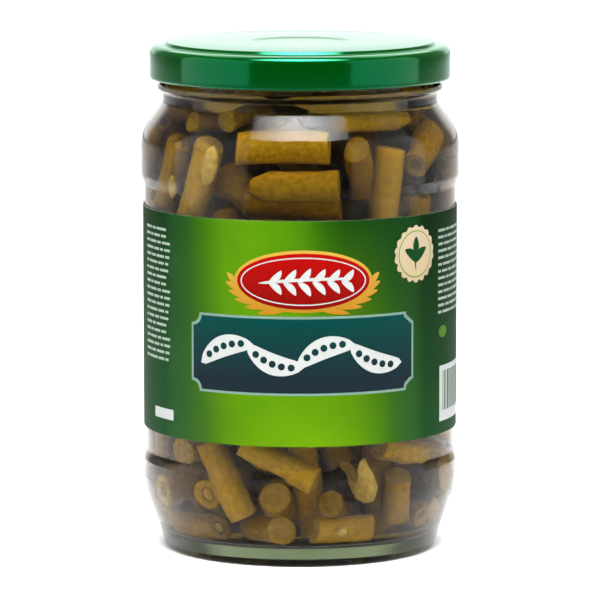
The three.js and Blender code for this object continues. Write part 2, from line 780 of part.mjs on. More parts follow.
// One cut piece of bean: a slightly flattened and bent rod whose ends are cut at a slant or taper to a tip.
function beanSolid({ a, b, radius, span, form }) {
  const length = span + 2 * CAP_SHARE * radius;
  const geometry = new THREE.CylinderGeometry(radius, radius, length, BEAN_SIDES, 2);
  const place = geometry.attributes.position;
  for (let i = 0; i < place.count; i++) {
    const along = (2 * place.getY(i)) / length;
    const isEnd = Math.abs(along) > 0.5;
    const cut = form.cuts[along > 0 ? 1 : 0];
    const isTip = form.hasTip && along > 0.5;
    const girth = isTip ? TIP_TAPER : 1;
    const x = place.getX(i) * girth;
    const z = place.getZ(i) * girth * form.flatness;
    const lean = 1 + (x * cut.towards[0] + z * cut.towards[1]) / radius;
    const back = isEnd && !isTip ? Math.sign(along) * cut.slant * radius * lean * 0.5 : 0;
    const waist = form.hasTip && !isEnd ? (TIP_START * length) / 2 : 0;
    const bow = form.bend * (0.5 - along * along);
    place.setXYZ(i, x + bow, place.getY(i) - back + waist, z);
  }
  const axis = new THREE.Vector3(b[0] - a[0], b[1] - a[1], b[2] - a[2]).normalize();
  const away = Math.abs(axis.z) < 0.9 ? new THREE.Vector3(0, 0, 1) : new THREE.Vector3(1, 0, 0);
  const side = away.cross(axis).normalize();
  const other = new THREE.Vector3().crossVectors(axis, side);
  const across = side.multiplyScalar(form.roll[0]).addScaledVector(other, form.roll[1]);
  const basis = new THREE.Matrix4().makeBasis(across, axis, across.clone().cross(axis));
  basis.setPosition((a[0] + b[0]) / 2, (a[1] + b[1]) / 2, (a[2] + b[2]) / 2);
  geometry.applyMatrix4(basis);
  return solidFrom(geometry);
}

function beanClusters() {
  const { beans, clusters } = packBeans();
  return clusters.map((members, n) => {
    const solid = members.map((i) => beanSolid(beans[i])).reduce((sum, next) => sum.add(next));
    return meshOf("beans_" + String(n + 1).padStart(2, "0"), solid, materials.bean);
  });
}

const jar = new THREE.Group();
jar.add(meshOf("jar_glass", jarGlass(), materials.glass));
jar.add(meshOf("label", label(), materials.label));
jar.add(meshOf("brine", brine(), materials.brine));
jar.add(...beanClusters());
const lid = new THREE.Group();
lid.add(meshOf("lid_shell", lidShell(), materials.lid));
lid.add(meshOf("lid_liner", lidLiner(), materials.liner));
jar.add(lid);

export default jar;
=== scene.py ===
"""A sealed twist-off jar of cut green beans in brine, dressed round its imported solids.

Sizes and places are in millimetres, as in the part's source, apart from the studio's. Each mesh is brought
to metres when its piece is finished. The origin is the middle of the ring that the jar stands on, and the
label's front faces -Y.
"""

import logging
import math
from dataclasses import dataclass, replace
from enum import Enum
from typing import NamedTuple, Optional, Sequence

import bmesh
import bpy
from mathutils import Matrix, Vector


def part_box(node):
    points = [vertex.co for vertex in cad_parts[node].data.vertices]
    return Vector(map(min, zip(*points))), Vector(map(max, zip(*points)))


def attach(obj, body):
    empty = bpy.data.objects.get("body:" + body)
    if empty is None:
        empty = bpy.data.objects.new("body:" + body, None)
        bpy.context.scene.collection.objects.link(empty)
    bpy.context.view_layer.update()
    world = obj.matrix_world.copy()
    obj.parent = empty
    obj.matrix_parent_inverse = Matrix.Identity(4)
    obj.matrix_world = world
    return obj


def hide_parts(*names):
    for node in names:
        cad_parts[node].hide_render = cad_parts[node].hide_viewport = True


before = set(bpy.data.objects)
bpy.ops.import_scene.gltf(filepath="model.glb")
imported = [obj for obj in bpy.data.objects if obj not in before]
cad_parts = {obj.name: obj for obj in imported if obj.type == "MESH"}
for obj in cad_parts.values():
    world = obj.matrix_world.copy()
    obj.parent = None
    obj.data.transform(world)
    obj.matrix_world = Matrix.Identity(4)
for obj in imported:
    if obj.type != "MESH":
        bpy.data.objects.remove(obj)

MM = 0.001
LOG = logging.getLogger("bean jar")

# How many times as bright as its own colour a matt surface is seen in the studio's light.
LIGHT_LEVEL = 3.1


class Body(Enum):
    """The bodies that pieces ride on."""

    JAR = "jar"
    LINER = "lid_ring"
    LID = "lid"


class Slot(Enum):
    """The record's material slots."""

    GLASS = "clear_glass"
    LACQUER = "lid_lacquer"
    LINER = "liner"
    PAPER = "label_paper"
    BRINE = "brine"
    BEAN = "bean_skin"


Colour = tuple[float, float, float]
Triple = tuple[float, float, float]
Point = tuple[float, float]
Stop = tuple[float, Colour]


def screen_colour(red: int, green: int, blue: int) -> Colour:
    """Return a colour of 0 to 255 screen values in linear light.

    Args:
        red: its red.
        green: its green.
        blue: its blue.

    Returns:
        The colour.
    """

    def linear(value: int) -> float:
        share = value / 255
        return share / 12.92 if share <= 0.04045 else ((share + 0.055) / 1.055) ** 2.4

    return (linear(red), linear(green), linear(blue))


def seen_colour(red: int, green: int, blue: int) -> Colour:
    """Return the colour a matt surface needs to be seen at these screen values in the studio's light."""
    return tuple(value / LIGHT_LEVEL for value in screen_colour(red, green, blue))


def fill_ramp(ramp: bpy.types.ShaderNodeValToRGB, stops: Sequence[Stop]) -> None:
    """Give a colour ramp its stops of place and colour.

    Args:
        ramp: the ramp's node.
        stops: the stops, in order.
    """
    elements = ramp.color_ramp.elements
    while len(elements) < len(stops):
        elements.new(1)
    for element, (where, colour) in zip(elements, stops):
        element.position = where
        element.color = (*colour, 1)


class Shader:
    """A material's nodes, with short calls for what the finishes share."""

    def __init__(self, name: str) -> None:
        """Start a material with its Principled shader.

        Args:
            name: the material's name.
        """
        self.material = bpy.data.materials.new(name)
        self.material.use_nodes = True
        self.tree = self.material.node_tree
        self.surface = self.tree.nodes["Principled BSDF"]
        self.output = self.tree.nodes["Material Output"]

    def put(self, **values: object) -> None:
        """Set sockets of the surface, named with underscores for spaces.

        Args:
            values: the sockets' values. Three numbers are a colour.
        """
        for name, value in values.items():
            socket = self.surface.inputs[name.replace("_", " ")]
            socket.default_value = (*value, 1) if isinstance(value, tuple) and len(value) == 3 else value

    def link(self, source: bpy.types.NodeSocket, socket: str) -> None:
        """Link a source to a socket of the surface."""
        self.tree.links.new(source, self.surface.inputs[socket])

    def node(self, kind: str, inputs: Optional[dict] = None, **settings: object) -> bpy.types.Node:
        """Add a node.

        Args:
            kind: the node's type name.
            inputs: sockets to set or link, by name or number.
            settings: the node's own settings.

        Returns:
            The node.
        """
        made = self.tree.nodes.new(kind)
        for name, value in settings.items():
            setattr(made, name, value)
        for key, value in (inputs or {}).items():
            if isinstance(value, bpy.types.NodeSocket):
                self.tree.links.new(value, made.inputs[key])
            else:
                made.inputs[key].default_value = value
        return made

    def place(self) -> bpy.types.NodeSocket:
        """Return the Object coordinates."""
        return self.node("ShaderNodeTexCoord").outputs["Object"]

    def attribute(self, name: str, output: str = "Fac") -> bpy.types.NodeSocket:
        """Return one of the piece's own attributes."""
        return self.node("ShaderNodeAttribute", attribute_name=name).outputs[output]

    def split(self, vector: bpy.types.NodeSocket) -> bpy.types.Node:
        """Return the node that holds a vector's X, Y and Z."""
        return self.node("ShaderNodeSeparateXYZ", {"Vector": vector})

    def noise(
        self,
        place: bpy.types.NodeSocket,
        scale: float,
        stretch: Triple = (1, 1, 1),
        detail: float = 3,
        roughness: float = 0.55,
    ) -> bpy.types.NodeSocket:
        """Return a noise value.

        Args:
            place: the coordinates it lies in.
            scale: how many patches there are in a unit of them.
            stretch: the share of that scale along each axis.
            detail: how many finer layers it has.
            roughness: how strong the finer layers are.

        Returns:
            The value's socket.
        """
        turned = self.node("ShaderNodeMapping", {"Vector": place, "Scale": stretch})
        sizes = {"Vector": turned.outputs[0], "Scale": scale, "Detail": detail, "Roughness": roughness}
        return self.node("ShaderNodeTexNoise", sizes).outputs["Fac"]

    def math(self, operation: str, *values: object) -> bpy.types.NodeSocket:
        """Return a sum, product or other operation on values."""
        return self.node("ShaderNodeMath", dict(enumerate(values)), operation=operation).outputs[0]

    def ranged(
        self, value: bpy.types.NodeSocket, low: float, high: float, to_low: float = 0, to_high: float = 1
    ) -> bpy.types.NodeSocket:
        """Return a value brought from one range to another and held inside it."""
        limits = {"Value": value, "From Min": low, "From Max": high, "To Min": to_low, "To Max": to_high}
        return self.node("ShaderNodeMapRange", limits).outputs["Result"]

    def ramp(self, value: bpy.types.NodeSocket, stops: Sequence[Stop]) -> bpy.types.NodeSocket:
        """Return a colour that runs through stops of place and colour.

        Args:
            value: where on the ramp, from 0 to 1.
            stops: the stops, in order.

        Returns:
            The colour's socket.
        """
        made = self.node("ShaderNodeValToRGB", {"Fac": value})
        fill_ramp(made, stops)
        return made.outputs["Color"]

    def mix(
        self, share: object, first: object, second: object, blend: str = "MIX"
    ) -> bpy.types.NodeSocket:
        """Return a mix of two colours.

        Args:
            share: how much of the second there is.
            first: a colour or its socket.
            second: another.
            blend: how they are mixed.

        Returns:
            The colour's socket.
        """
        made = self.node("ShaderNodeMix", data_type="RGBA", blend_type=blend)
        for socket, value in ((made.inputs[0], share), (made.inputs[6], first), (made.inputs[7], second)):
            if isinstance(value, bpy.types.NodeSocket):
                self.tree.links.new(value, socket)
            else:
                socket.default_value = (*value, 1) if isinstance(value, tuple) else value
        return made.outputs[2]

    def mottle(self, patches: bpy.types.NodeSocket, low: float, deep: object, colour: object) -> None:
        """Let the surface's colour run from a deeper tone to its own, by patches of low to 1 - low."""
        self.link(self.mix(self.ranged(patches, low, 1 - low), deep, colour), "Base Color")

    def roughen(self, grain: bpy.types.NodeSocket, roughness: float, spread: float) -> None:
        """Let the surface's roughness follow a grain, by a spread to either side."""
        self.link(self.ranged(grain, 0.3, 0.7, roughness - spread, roughness + spread), "Roughness")

    def bump(self, height: bpy.types.NodeSocket, strength: float, distance: float) -> None:
        """Give the surface a relief of a strength and a depth in metres."""
        made = self.node("ShaderNodeBump", {"Height": height, "Strength": strength, "Distance": distance})
        self.link(made.outputs["Normal"], "Normal")

    def absorb(self, colour: Colour, density: float) -> None:
        """Fill the body with a tint that deepens with thickness."""
        inside = self.node("ShaderNodeVolumeAbsorption", {"Color": (*colour, 1), "Density": density})
        self.tree.links.new(inside.outputs[0], self.output.inputs["Volume"])


@dataclass(frozen=True)
class ClearFinish:
    """Glass or brine: what shows through it, how it bends light, and its tint in depth."""

    name: str
    bending: float
    tint: Colour
    density: float
    ripple: float
    shine: float

    def material(self) -> bpy.types.Material:
        """Return the finish as a material."""
        shader = Shader(self.name)
        shader.put(Base_Color=(1.0, 1.0, 1.0), Transmission_Weight=1.0, Roughness=0.0, IOR=self.bending)
        shader.put(Specular_Tint=(self.shine, self.shine, self.shine))
        if self.ripple:
            waves = shader.noise(shader.place(), 70, (1, 1, 0.45), 1)
            shader.bump(waves, self.ripple, 0.0006)
        shader.absorb(self.tint, self.density)
        return shader.material


@dataclass(frozen=True)
class LacquerFinish:
    """Coloured lacquer on tinned steel, with the faint skin that sprayed lacquer has."""

    name: str
    colour: Colour
    metal: float
    roughness: float
    coat: float
    sheen: Colour

    def material(self) -> bpy.types.Material:
        """Return the finish as a material."""
        shader = Shader(self.name)
        place = shader.place()
        shader.put(Metallic=self.metal, Coat_Weight=self.coat, Coat_Roughness=0.06, Coat_IOR=1.5)
        shader.put(Specular_IOR_Level=0.6, Specular_Tint=self.sheen)
        deep = tuple(0.95 * value for value in self.colour)
        shader.mottle(shader.noise(place, 120), 0.35, deep, self.colour)
        shader.roughen(shader.noise(place, 500), self.roughness, 0.01)
        shader.bump(shader.noise(place, 90, detail=1), 0.02, 0.00004)
        return shader.material


@dataclass(frozen=True)
class SoftFinish:
    """A matt or satin stuff of one colour with a fine grain, such as the liner's compound or bare paper."""

    name: str
    colour: Colour
    roughness: float
    grain: float

    def material(self) -> bpy.types.Material:
        """Return the finish as a material."""
        shader = Shader(self.name)
        place = shader.place()
        specks = shader.noise(place, self.grain, detail=4)
        deep = tuple(0.9 * value for value in self.colour)
        shader.mottle(specks, 0.3, deep, self.colour)
        shader.roughen(specks, self.roughness, 0.06)
        shader.bump(specks, 0.2, 0.00004)
        return shader.material


@dataclass(frozen=True)
class LabelGroundFinish:
    """The label's printed ground: greens that run round the jar, on satin paper."""

    name: str = "label ground"
    head_stops: tuple[Stop, ...] = (
        (-180, seen_colour(12, 70, 20)),
        (-98, seen_colour(10, 66, 16)),
        (-58, seen_colour(8, 64, 14)),
        (-53, seen_colour(30, 86, 34)),
        (-44, seen_colour(46, 100, 24)),
        (-37, seen_colour(72, 130, 4)),
        (-28, seen_colour(100, 162, 3)),
        (-18, seen_colour(102, 166, 3)),
        (-6, seen_colour(90, 154, 3)),
        (1, seen_colour(78, 141, 2)),
        (8, seen_colour(44, 110, 2)),
        (16, seen_colour(24, 80, 5)),
        (32, seen_colour(18, 72, 20)),
        (46, seen_colour(18, 68, 20)),
        (50, seen_colour(2, 42, 4)),
        (76, seen_colour(4, 50, 10)),
        (180, seen_colour(12, 70, 20)),
    )
    foot_stops: tuple[Stop, ...] = (
        (-180, seen_colour(12, 70, 20)),
        (-98, seen_colour(16, 76, 26)),
        (-58, seen_colour(30, 88, 40)),
        (-53, seen_colour(48, 102, 50)),
        (-45, seen_colour(54, 106, 42)),
        (-36, seen_colour(70, 120, 28)),
        (-30, seen_colour(90, 142, 12)),
        (-23, seen_colour(107, 164, 4)),
        (-12, seen_colour(118, 176, 3)),
        (8, seen_colour(119, 176, 3)),
        (20, seen_colour(112, 168, 3)),
        (28, seen_colour(94, 151, 6)),
        (36, seen_colour(64, 120, 28)),
        (46, seen_colour(50, 102, 46)),
        (52, seen_colour(26, 84, 32)),
        (76, seen_colour(18, 76, 26)),
        (180, seen_colour(12, 70, 20)),
    )

    def material(self) -> bpy.types.Material:
        """Return the finish as a material."""
        shader = Shader(self.name)
        around, height = shader.split(shader.attribute("wrap", "Vector")).outputs[:2]
        foot, head = (
            shader.ramp(around, [((bearing + 180) / 360, colour) for bearing, colour in stops])
            for stops in (self.foot_stops, self.head_stops)
        )
        ground = shader.mix(height, foot, head)
        place = shader.place()
        deep = shader.mix(1.0, ground, (0.8, 0.86, 0.8), "MULTIPLY")
        shader.mottle(shader.noise(place, 45, detail=2), 0.3, deep, ground)
        fibres = shader.noise(place, 2600, (1, 1, 0.5), 4)
        shader.roughen(fibres, 0.55, 0.05)
        shader.put(Specular_IOR_Level=0.03)
        shader.bump(fibres, 0.12, 0.00003)
        return shader.material


@dataclass(frozen=True)
class InkFinish:
    """A printed ink, which may run from one colour at the foot of its print to another at the head."""

    name: str
    foot_colour: Colour
    head_colour: Colour
    foot: float = 0.0
    head: float = 1.0
    metal: float = 0.0
    roughness: float = 0.4

    def material(self) -> bpy.types.Material:
        """Return the finish as a material."""
        shader = Shader(self.name)
        place = shader.place()
        height = shader.ranged(shader.split(place).outputs["Z"], self.foot * MM, self.head * MM)
        ground = shader.mix(height, self.foot_colour, self.head_colour)
        dots = shader.noise(place, 2200, detail=2)
        deep = shader.mix(1.0, ground, (0.9, 0.9, 0.9), "MULTIPLY")
        shader.mottle(dots, 0.35, deep, ground)
        shader.roughen(dots, self.roughness, 0.05)
        shader.put(Metallic=self.metal, Specular_IOR_Level=0.03)
        return shader.material


@dataclass(frozen=True)
class BeanFinish:
    """Cooked bean: each piece's own tint, mottled and streaked along its length."""

    name: str
    dark: Colour
    middle: Colour
    pale: Colour
    roughness: float
    streaks: float

    def material(self) -> bpy.types.Material:
        """Return the finish as a material."""
        shader = Shader(self.name)
        rod = shader.attribute("rod", "Vector")
        tones = ((0, self.dark), (0.5, self.middle), (1, self.pale))
        ground = shader.ramp(shader.attribute("tint"), tones)
        patches = shader.ranged(shader.noise(rod, 0.7, detail=4), 0.32, 0.68)
        deep = shader.mix(1.0, ground, (0.62, 0.56, 0.45), "MULTIPLY")
        blotched = shader.mix(patches, deep, ground)
        streak = shader.noise(rod, 3.2, (1, 1, 0.12), 2)
        light = shader.mix(1.0, blotched, (1.35, 1.3, 1.2), "MULTIPLY")
        share = shader.ranged(streak, 0.52, 0.75, 0, self.streaks)
        shader.link(shader.mix(share, blotched, light), "Base Color")
        shader.put(IOR=1.12)
        shader.roughen(streak, self.roughness, 0.09)
        relief = shader.math("ADD", streak, shader.noise(rod, 1.1, (1, 1, 0.5), 2))
        shader.bump(relief, 0.35, 0.0004)
        return shader.material


@dataclass(frozen=True)
class FloorFinish:
    """A plain pale studio floor."""

    name: str = "studio floor"
    colour: Colour = (0.64, 0.64, 0.64)

    def material(self) -> bpy.types.Material:
        """Return the finish as a material."""
        shader = Shader(self.name)
        shader.put(Base_Color=self.colour, Roughness=0.8, Specular_IOR_Level=0.2)
        return shader.material


def spin(bm: bmesh.types.BMesh, parts: Sequence[object], turn: float, steps: int, meets: bool) -> None:
    """Spin parts of a body round the jar's axis.

    Args:
        bm: the body.
        parts: its points, edges and faces that are spun.
        turn: the angle of the whole spin.
        steps: how many steps it takes.
        meets: whether its end joins its start.
    """
    bmesh.ops.spin(
        bm,
        geom=parts,
        cent=(0, 0, 0),
        axis=(0, 0, 1),
        dvec=(0, 0, 0),
        angle=turn,
        steps=steps,
        use_merge=meets,
        use_duplicate=False,
    )


def mesh_of(bm: bmesh.types.BMesh, name: str) -> bpy.types.Mesh:
    """Return a body as a mesh. The body is used up.

    Args:
        bm: the body.
        name: the mesh's name.

    Returns:
        The mesh.
    """
    mesh = bpy.data.meshes.new(name)
    bm.to_mesh(mesh)
    bm.free()
    return mesh


def put_in_scene(name: str, data: bpy.types.ID) -> bpy.types.Object:
    """Return a mesh, light or camera as an object of the scene.

    Args:
        name: the object's name.
        data: what it holds.

    Returns:
        The object.
    """
    made = bpy.data.objects.new(name, data)
    bpy.context.scene.collection.objects.link(made)
    return made


def rounded_outline(corners: Sequence[Sequence[float]], steps: int = 7) -> list[Point]:
    """Return an outline of [radius, height] corners, each rounded where it has a third value.

    Args:
        corners: radius, height and, where it is rounded, the radius of the rounding.
        steps: how many steps a rounding takes.

    Returns:
        The outline's points.
    """
    path = [Vector(corner[:2]) for corner in corners]
    points: list[Point] = []
    for i, corner in enumerate(corners):
        if len(corner) < 3:
            points.append(tuple(path[i]))
            continue
        back = (path[i - 1] - path[i]).normalized()
        ahead = (path[i + 1] - path[i]).normalized()
        half = math.acos(back.dot(ahead)) / 2
        centre = path[i] + (back + ahead).normalized() * (corner[2] / math.sin(half))
        tangent = corner[2] / math.tan(half)
        start = path[i] + back * tangent - centre
        end = path[i] + ahead * tangent - centre
        sweep = math.atan2(start.x * end.y - start.y * end.x, start.dot(end))
        for step in range(steps + 1):
            turned = start.copy()
            turned.rotate(Matrix.Rotation(sweep * step / steps, 2))
            points.append(tuple(centre + turned))
    return points


def turned_body(outline: Sequence[Point], segments: int, closed: bool = False) -> bmesh.types.BMesh:
    """Return an outline of radius and height spun once round the jar's axis.

    Args:
        outline: the points, from axis to axis or as a closed loop.
        segments: how many steps the turn takes.
        closed: whether the last point joins the first.

    Returns:
        The body, closed and facing outwards.
    """
    bm = bmesh.new()
    verts = [bm.verts.new((radius, 0, height)) for radius, height in outline]
    edges = [bm.edges.new(pair) for pair in zip(verts, verts[1:])]
    if closed:
        edges.append(bm.edges.new((verts[-1], verts[0])))
    spin(bm, [*verts, *edges], 2 * math.pi, segments, True)
    bmesh.ops.remove_doubles(bm, verts=bm.verts, dist=1e-4)
    bmesh.ops.recalc_face_normals(bm, faces=bm.faces)
    return bm


def add_body(bm: bmesh.types.BMesh, other: bmesh.types.BMesh) -> None:
    """Add another body to a body. The other is used up.

    Args:
        bm: the body that grows.
        other: the other body.
    """
    mesh = mesh_of(other, "body")
    bm.from_mesh(mesh)
    bpy.data.meshes.remove(mesh)


@dataclass(frozen=True)
class Place:
    """Where a piece belongs: its body, the record's slot, and the solids that it stands for."""

    body: Body
    slot: Slot
    replaces: tuple[str, ...] = ()


def finished_piece(
    bm: bmesh.types.BMesh,
    name: str,
    materials: Sequence[bpy.types.Material],
    place: Place,
    crease: float = 40,
) -> bpy.types.Object:
    """Turn a body in millimetres into a piece of the model.

    Args:
        bm: the body, which is used up.
        name: the piece's name.
        materials: its materials, in the order of its faces' numbers.
        place: where it belongs.
        crease: the angle in degrees past which an edge is sharp.

    Returns:
        The piece.
    """
    bmesh.ops.scale(bm, vec=(MM, MM, MM), verts=bm.verts)
    mesh = mesh_of(bm, name)
    for material in materials:
        mesh.materials.append(material)
    mesh.shade_smooth()
    mesh.set_sharp_from_angle(angle=math.radians(crease))
    piece = put_in_scene(name, mesh)
    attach(piece, place.body.value)
    if place.replaces:
        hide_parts(*place.replaces)
    LOG.info("%s: %d faces", name, len(mesh.polygons))
    return piece


@dataclass
class GlassJar:
    """The glass: push-up base, heel, recessed label panel, shoulder, neck, bead and threaded finish."""

    body_radius: float = 45.6
    panel_radius: float = 44.6
    heel_bead_radius: float = 45.35
    neck_radius: float = 39.35
    transfer_bead_radius: float = 40.9
    finish_radius: float = 39.4
    bore_radius: float = 36.5
    bore_foot: float = 128.6
    inner_radius: float = 42.6
    inner_foot: float = 18
    inner_head: float = 119
    floor_radius: float = 37.4
    floor_height: float = 5.8
    push_up: float = 2.4
    rim_height: float = 143.2
    finish_foot: float = 134.9
    thread_rows: tuple[float, float] = (135.4, 141.8)
    row_height: float = 0.32
    thread_radius: float = 40.7
    thread_start_height: float = 137.6
    thread_rise_per_deg: float = 0.0375
    thread_before_lug_deg: float = 9
    thread_after_lug_deg: float = 31
    thread_taper_deg: float = 5
    thread_crest: float = 0.35
    thread_foot: float = 0.8
    wall_reach: float = 0.05
    lug_count: int = 6
    first_lug_deg: float = 20
    lug_width_deg: float = 10
    segments: int = 192
    finish: ClearFinish = ClearFinish("jar glass", 1.5, (0.66, 0.7, 0.6), 80.0, 0.1, 0.12)

    def outline(self) -> list[Point]:
        """Return the outline of the glass, with close rows where the threads stand.

        Outside, it runs from the push-up by the standing ring, heel, label panel, shoulder, neck and
        transfer bead to the rim, and inside from the rim to the floor.
        """
        low, high = self.thread_rows
        rows = int((high - low) / self.row_height)
        outside = [
            (0, self.push_up),
            (28, self.push_up, 6),
            (34, 0, 0.8),
            (38.9, 0, 1.2),
            (39.4, 2, 1.5),
            (44.6, 16.8, 9),
            (self.heel_bead_radius, 21, 1),
            (self.heel_bead_radius, 26, 1),
            (self.panel_radius, 28.5, 1),
            (self.panel_radius, 105, 1),
            (self.body_radius, 108, 1),
            (self.body_radius, 120, 10),
            (self.neck_radius, 128.5, 2),
            (self.neck_radius, 131.4, 0.6),
            (self.transfer_bead_radius, 132.7, 0.5),
            (self.transfer_bead_radius, 133.9, 0.5),
            (self.finish_radius, self.finish_foot),
            *((self.finish_radius, low + (high - low) * row / rows) for row in range(rows + 1)),
            (self.finish_radius, self.rim_height, 1.1),
        ]
        inside = [
            (self.bore_radius + 0.4, self.rim_height, 1.1),
            (self.bore_radius, 139, 3),
            (self.bore_radius, self.bore_foot, 3),
            (self.inner_radius, self.inner_head, 9),
            (self.inner_radius, self.inner_foot, 9),
            (self.floor_radius, self.floor_height, 4),
            (0, self.floor_height),
        ]
        return rounded_outline([*outside, *inside])

    def thread_depth(self, bearing_deg: float, height: float) -> float:
        """Return how far a thread stands off the finish at a bearing and a height.

        Args:
            bearing_deg: the bearing.
            height: the height.

        Returns:
            The depth, 0 between threads.
        """
        step = 360 / self.lug_count
        after_lug = (bearing_deg - self.first_lug_deg + step / 2) % step - step / 2
        run = min(after_lug + self.thread_before_lug_deg, self.thread_after_lug_deg - after_lug)
        if run <= 0:
            return 0
        climb = max(0, after_lug + self.lug_width_deg / 2) * self.thread_rise_per_deg
        off = abs(height - self.thread_start_height - climb)
        slope = (self.thread_foot - off) / (self.thread_foot - self.thread_crest)
        profile = min(1, max(0, slope))
        full = self.thread_radius - self.finish_radius
        return full * min(1, run / self.thread_taper_deg) * profile

    def raise_threads(self, bm: bmesh.types.BMesh) -> None:
        """Draw the threads out of the wall of the finish.

        Args:
            bm: the glass.
        """
        low, high = self.thread_rows
        for vert in bm.verts:
            radius = math.hypot(vert.co.x, vert.co.y)
            if abs(radius - self.finish_radius) > self.wall_reach or not low < vert.co.z < high:
                continue
            bearing = math.degrees(math.atan2(vert.co.y, vert.co.x))
            scale = 1 + self.thread_depth(bearing, vert.co.z) / radius
            vert.co.x *= scale
            vert.co.y *= scale

    def build(self) -> None:
        """Make the glass."""
        bm = turned_body(self.outline(), self.segments)
        self.raise_threads(bm)
        place = Place(Body.JAR, Slot.GLASS, ("jar_glass",))
        finished_piece(bm, "glass_jar", [self.finish.material()], place, crease=50)


@dataclass
class Brine:
    """The brine: it fills the glass up to its level.

    It reaches a little into the glass, as wet glass shows no air between the two.
    """

    glass: GlassJar
    level: float = 136.5
    meniscus: float = 0.4
    reach: float = 0.2
    segments: int = 160
    finish: ClearFinish = ClearFinish("brine", 1.333, (0.67, 0.6, 0.3), 100.0, 0.0, 0.1)

    def build(self) -> None:
        """Make the body of brine."""
        glass, reach = self.glass, self.reach
        bore = glass.bore_radius + reach
        inner = glass.inner_radius + reach
        floor = glass.floor_height - reach
        corners = [
            (0, floor),
            (glass.floor_radius + reach, floor, 4),
            (inner, glass.inner_foot, 9),
            (inner, glass.inner_head, 9),
            (bore, glass.bore_foot, 3),
            (bore, self.level + self.meniscus),
            (glass.bore_radius - 2 * self.meniscus, self.level),
            (0, self.level),
        ]
        bm = turned_body(rounded_outline(corners), self.segments)
        place = Place(Body.JAR, Slot.BRINE, ("brine",))
        finished_piece(bm, "brine_fill", [self.finish.material()], place)


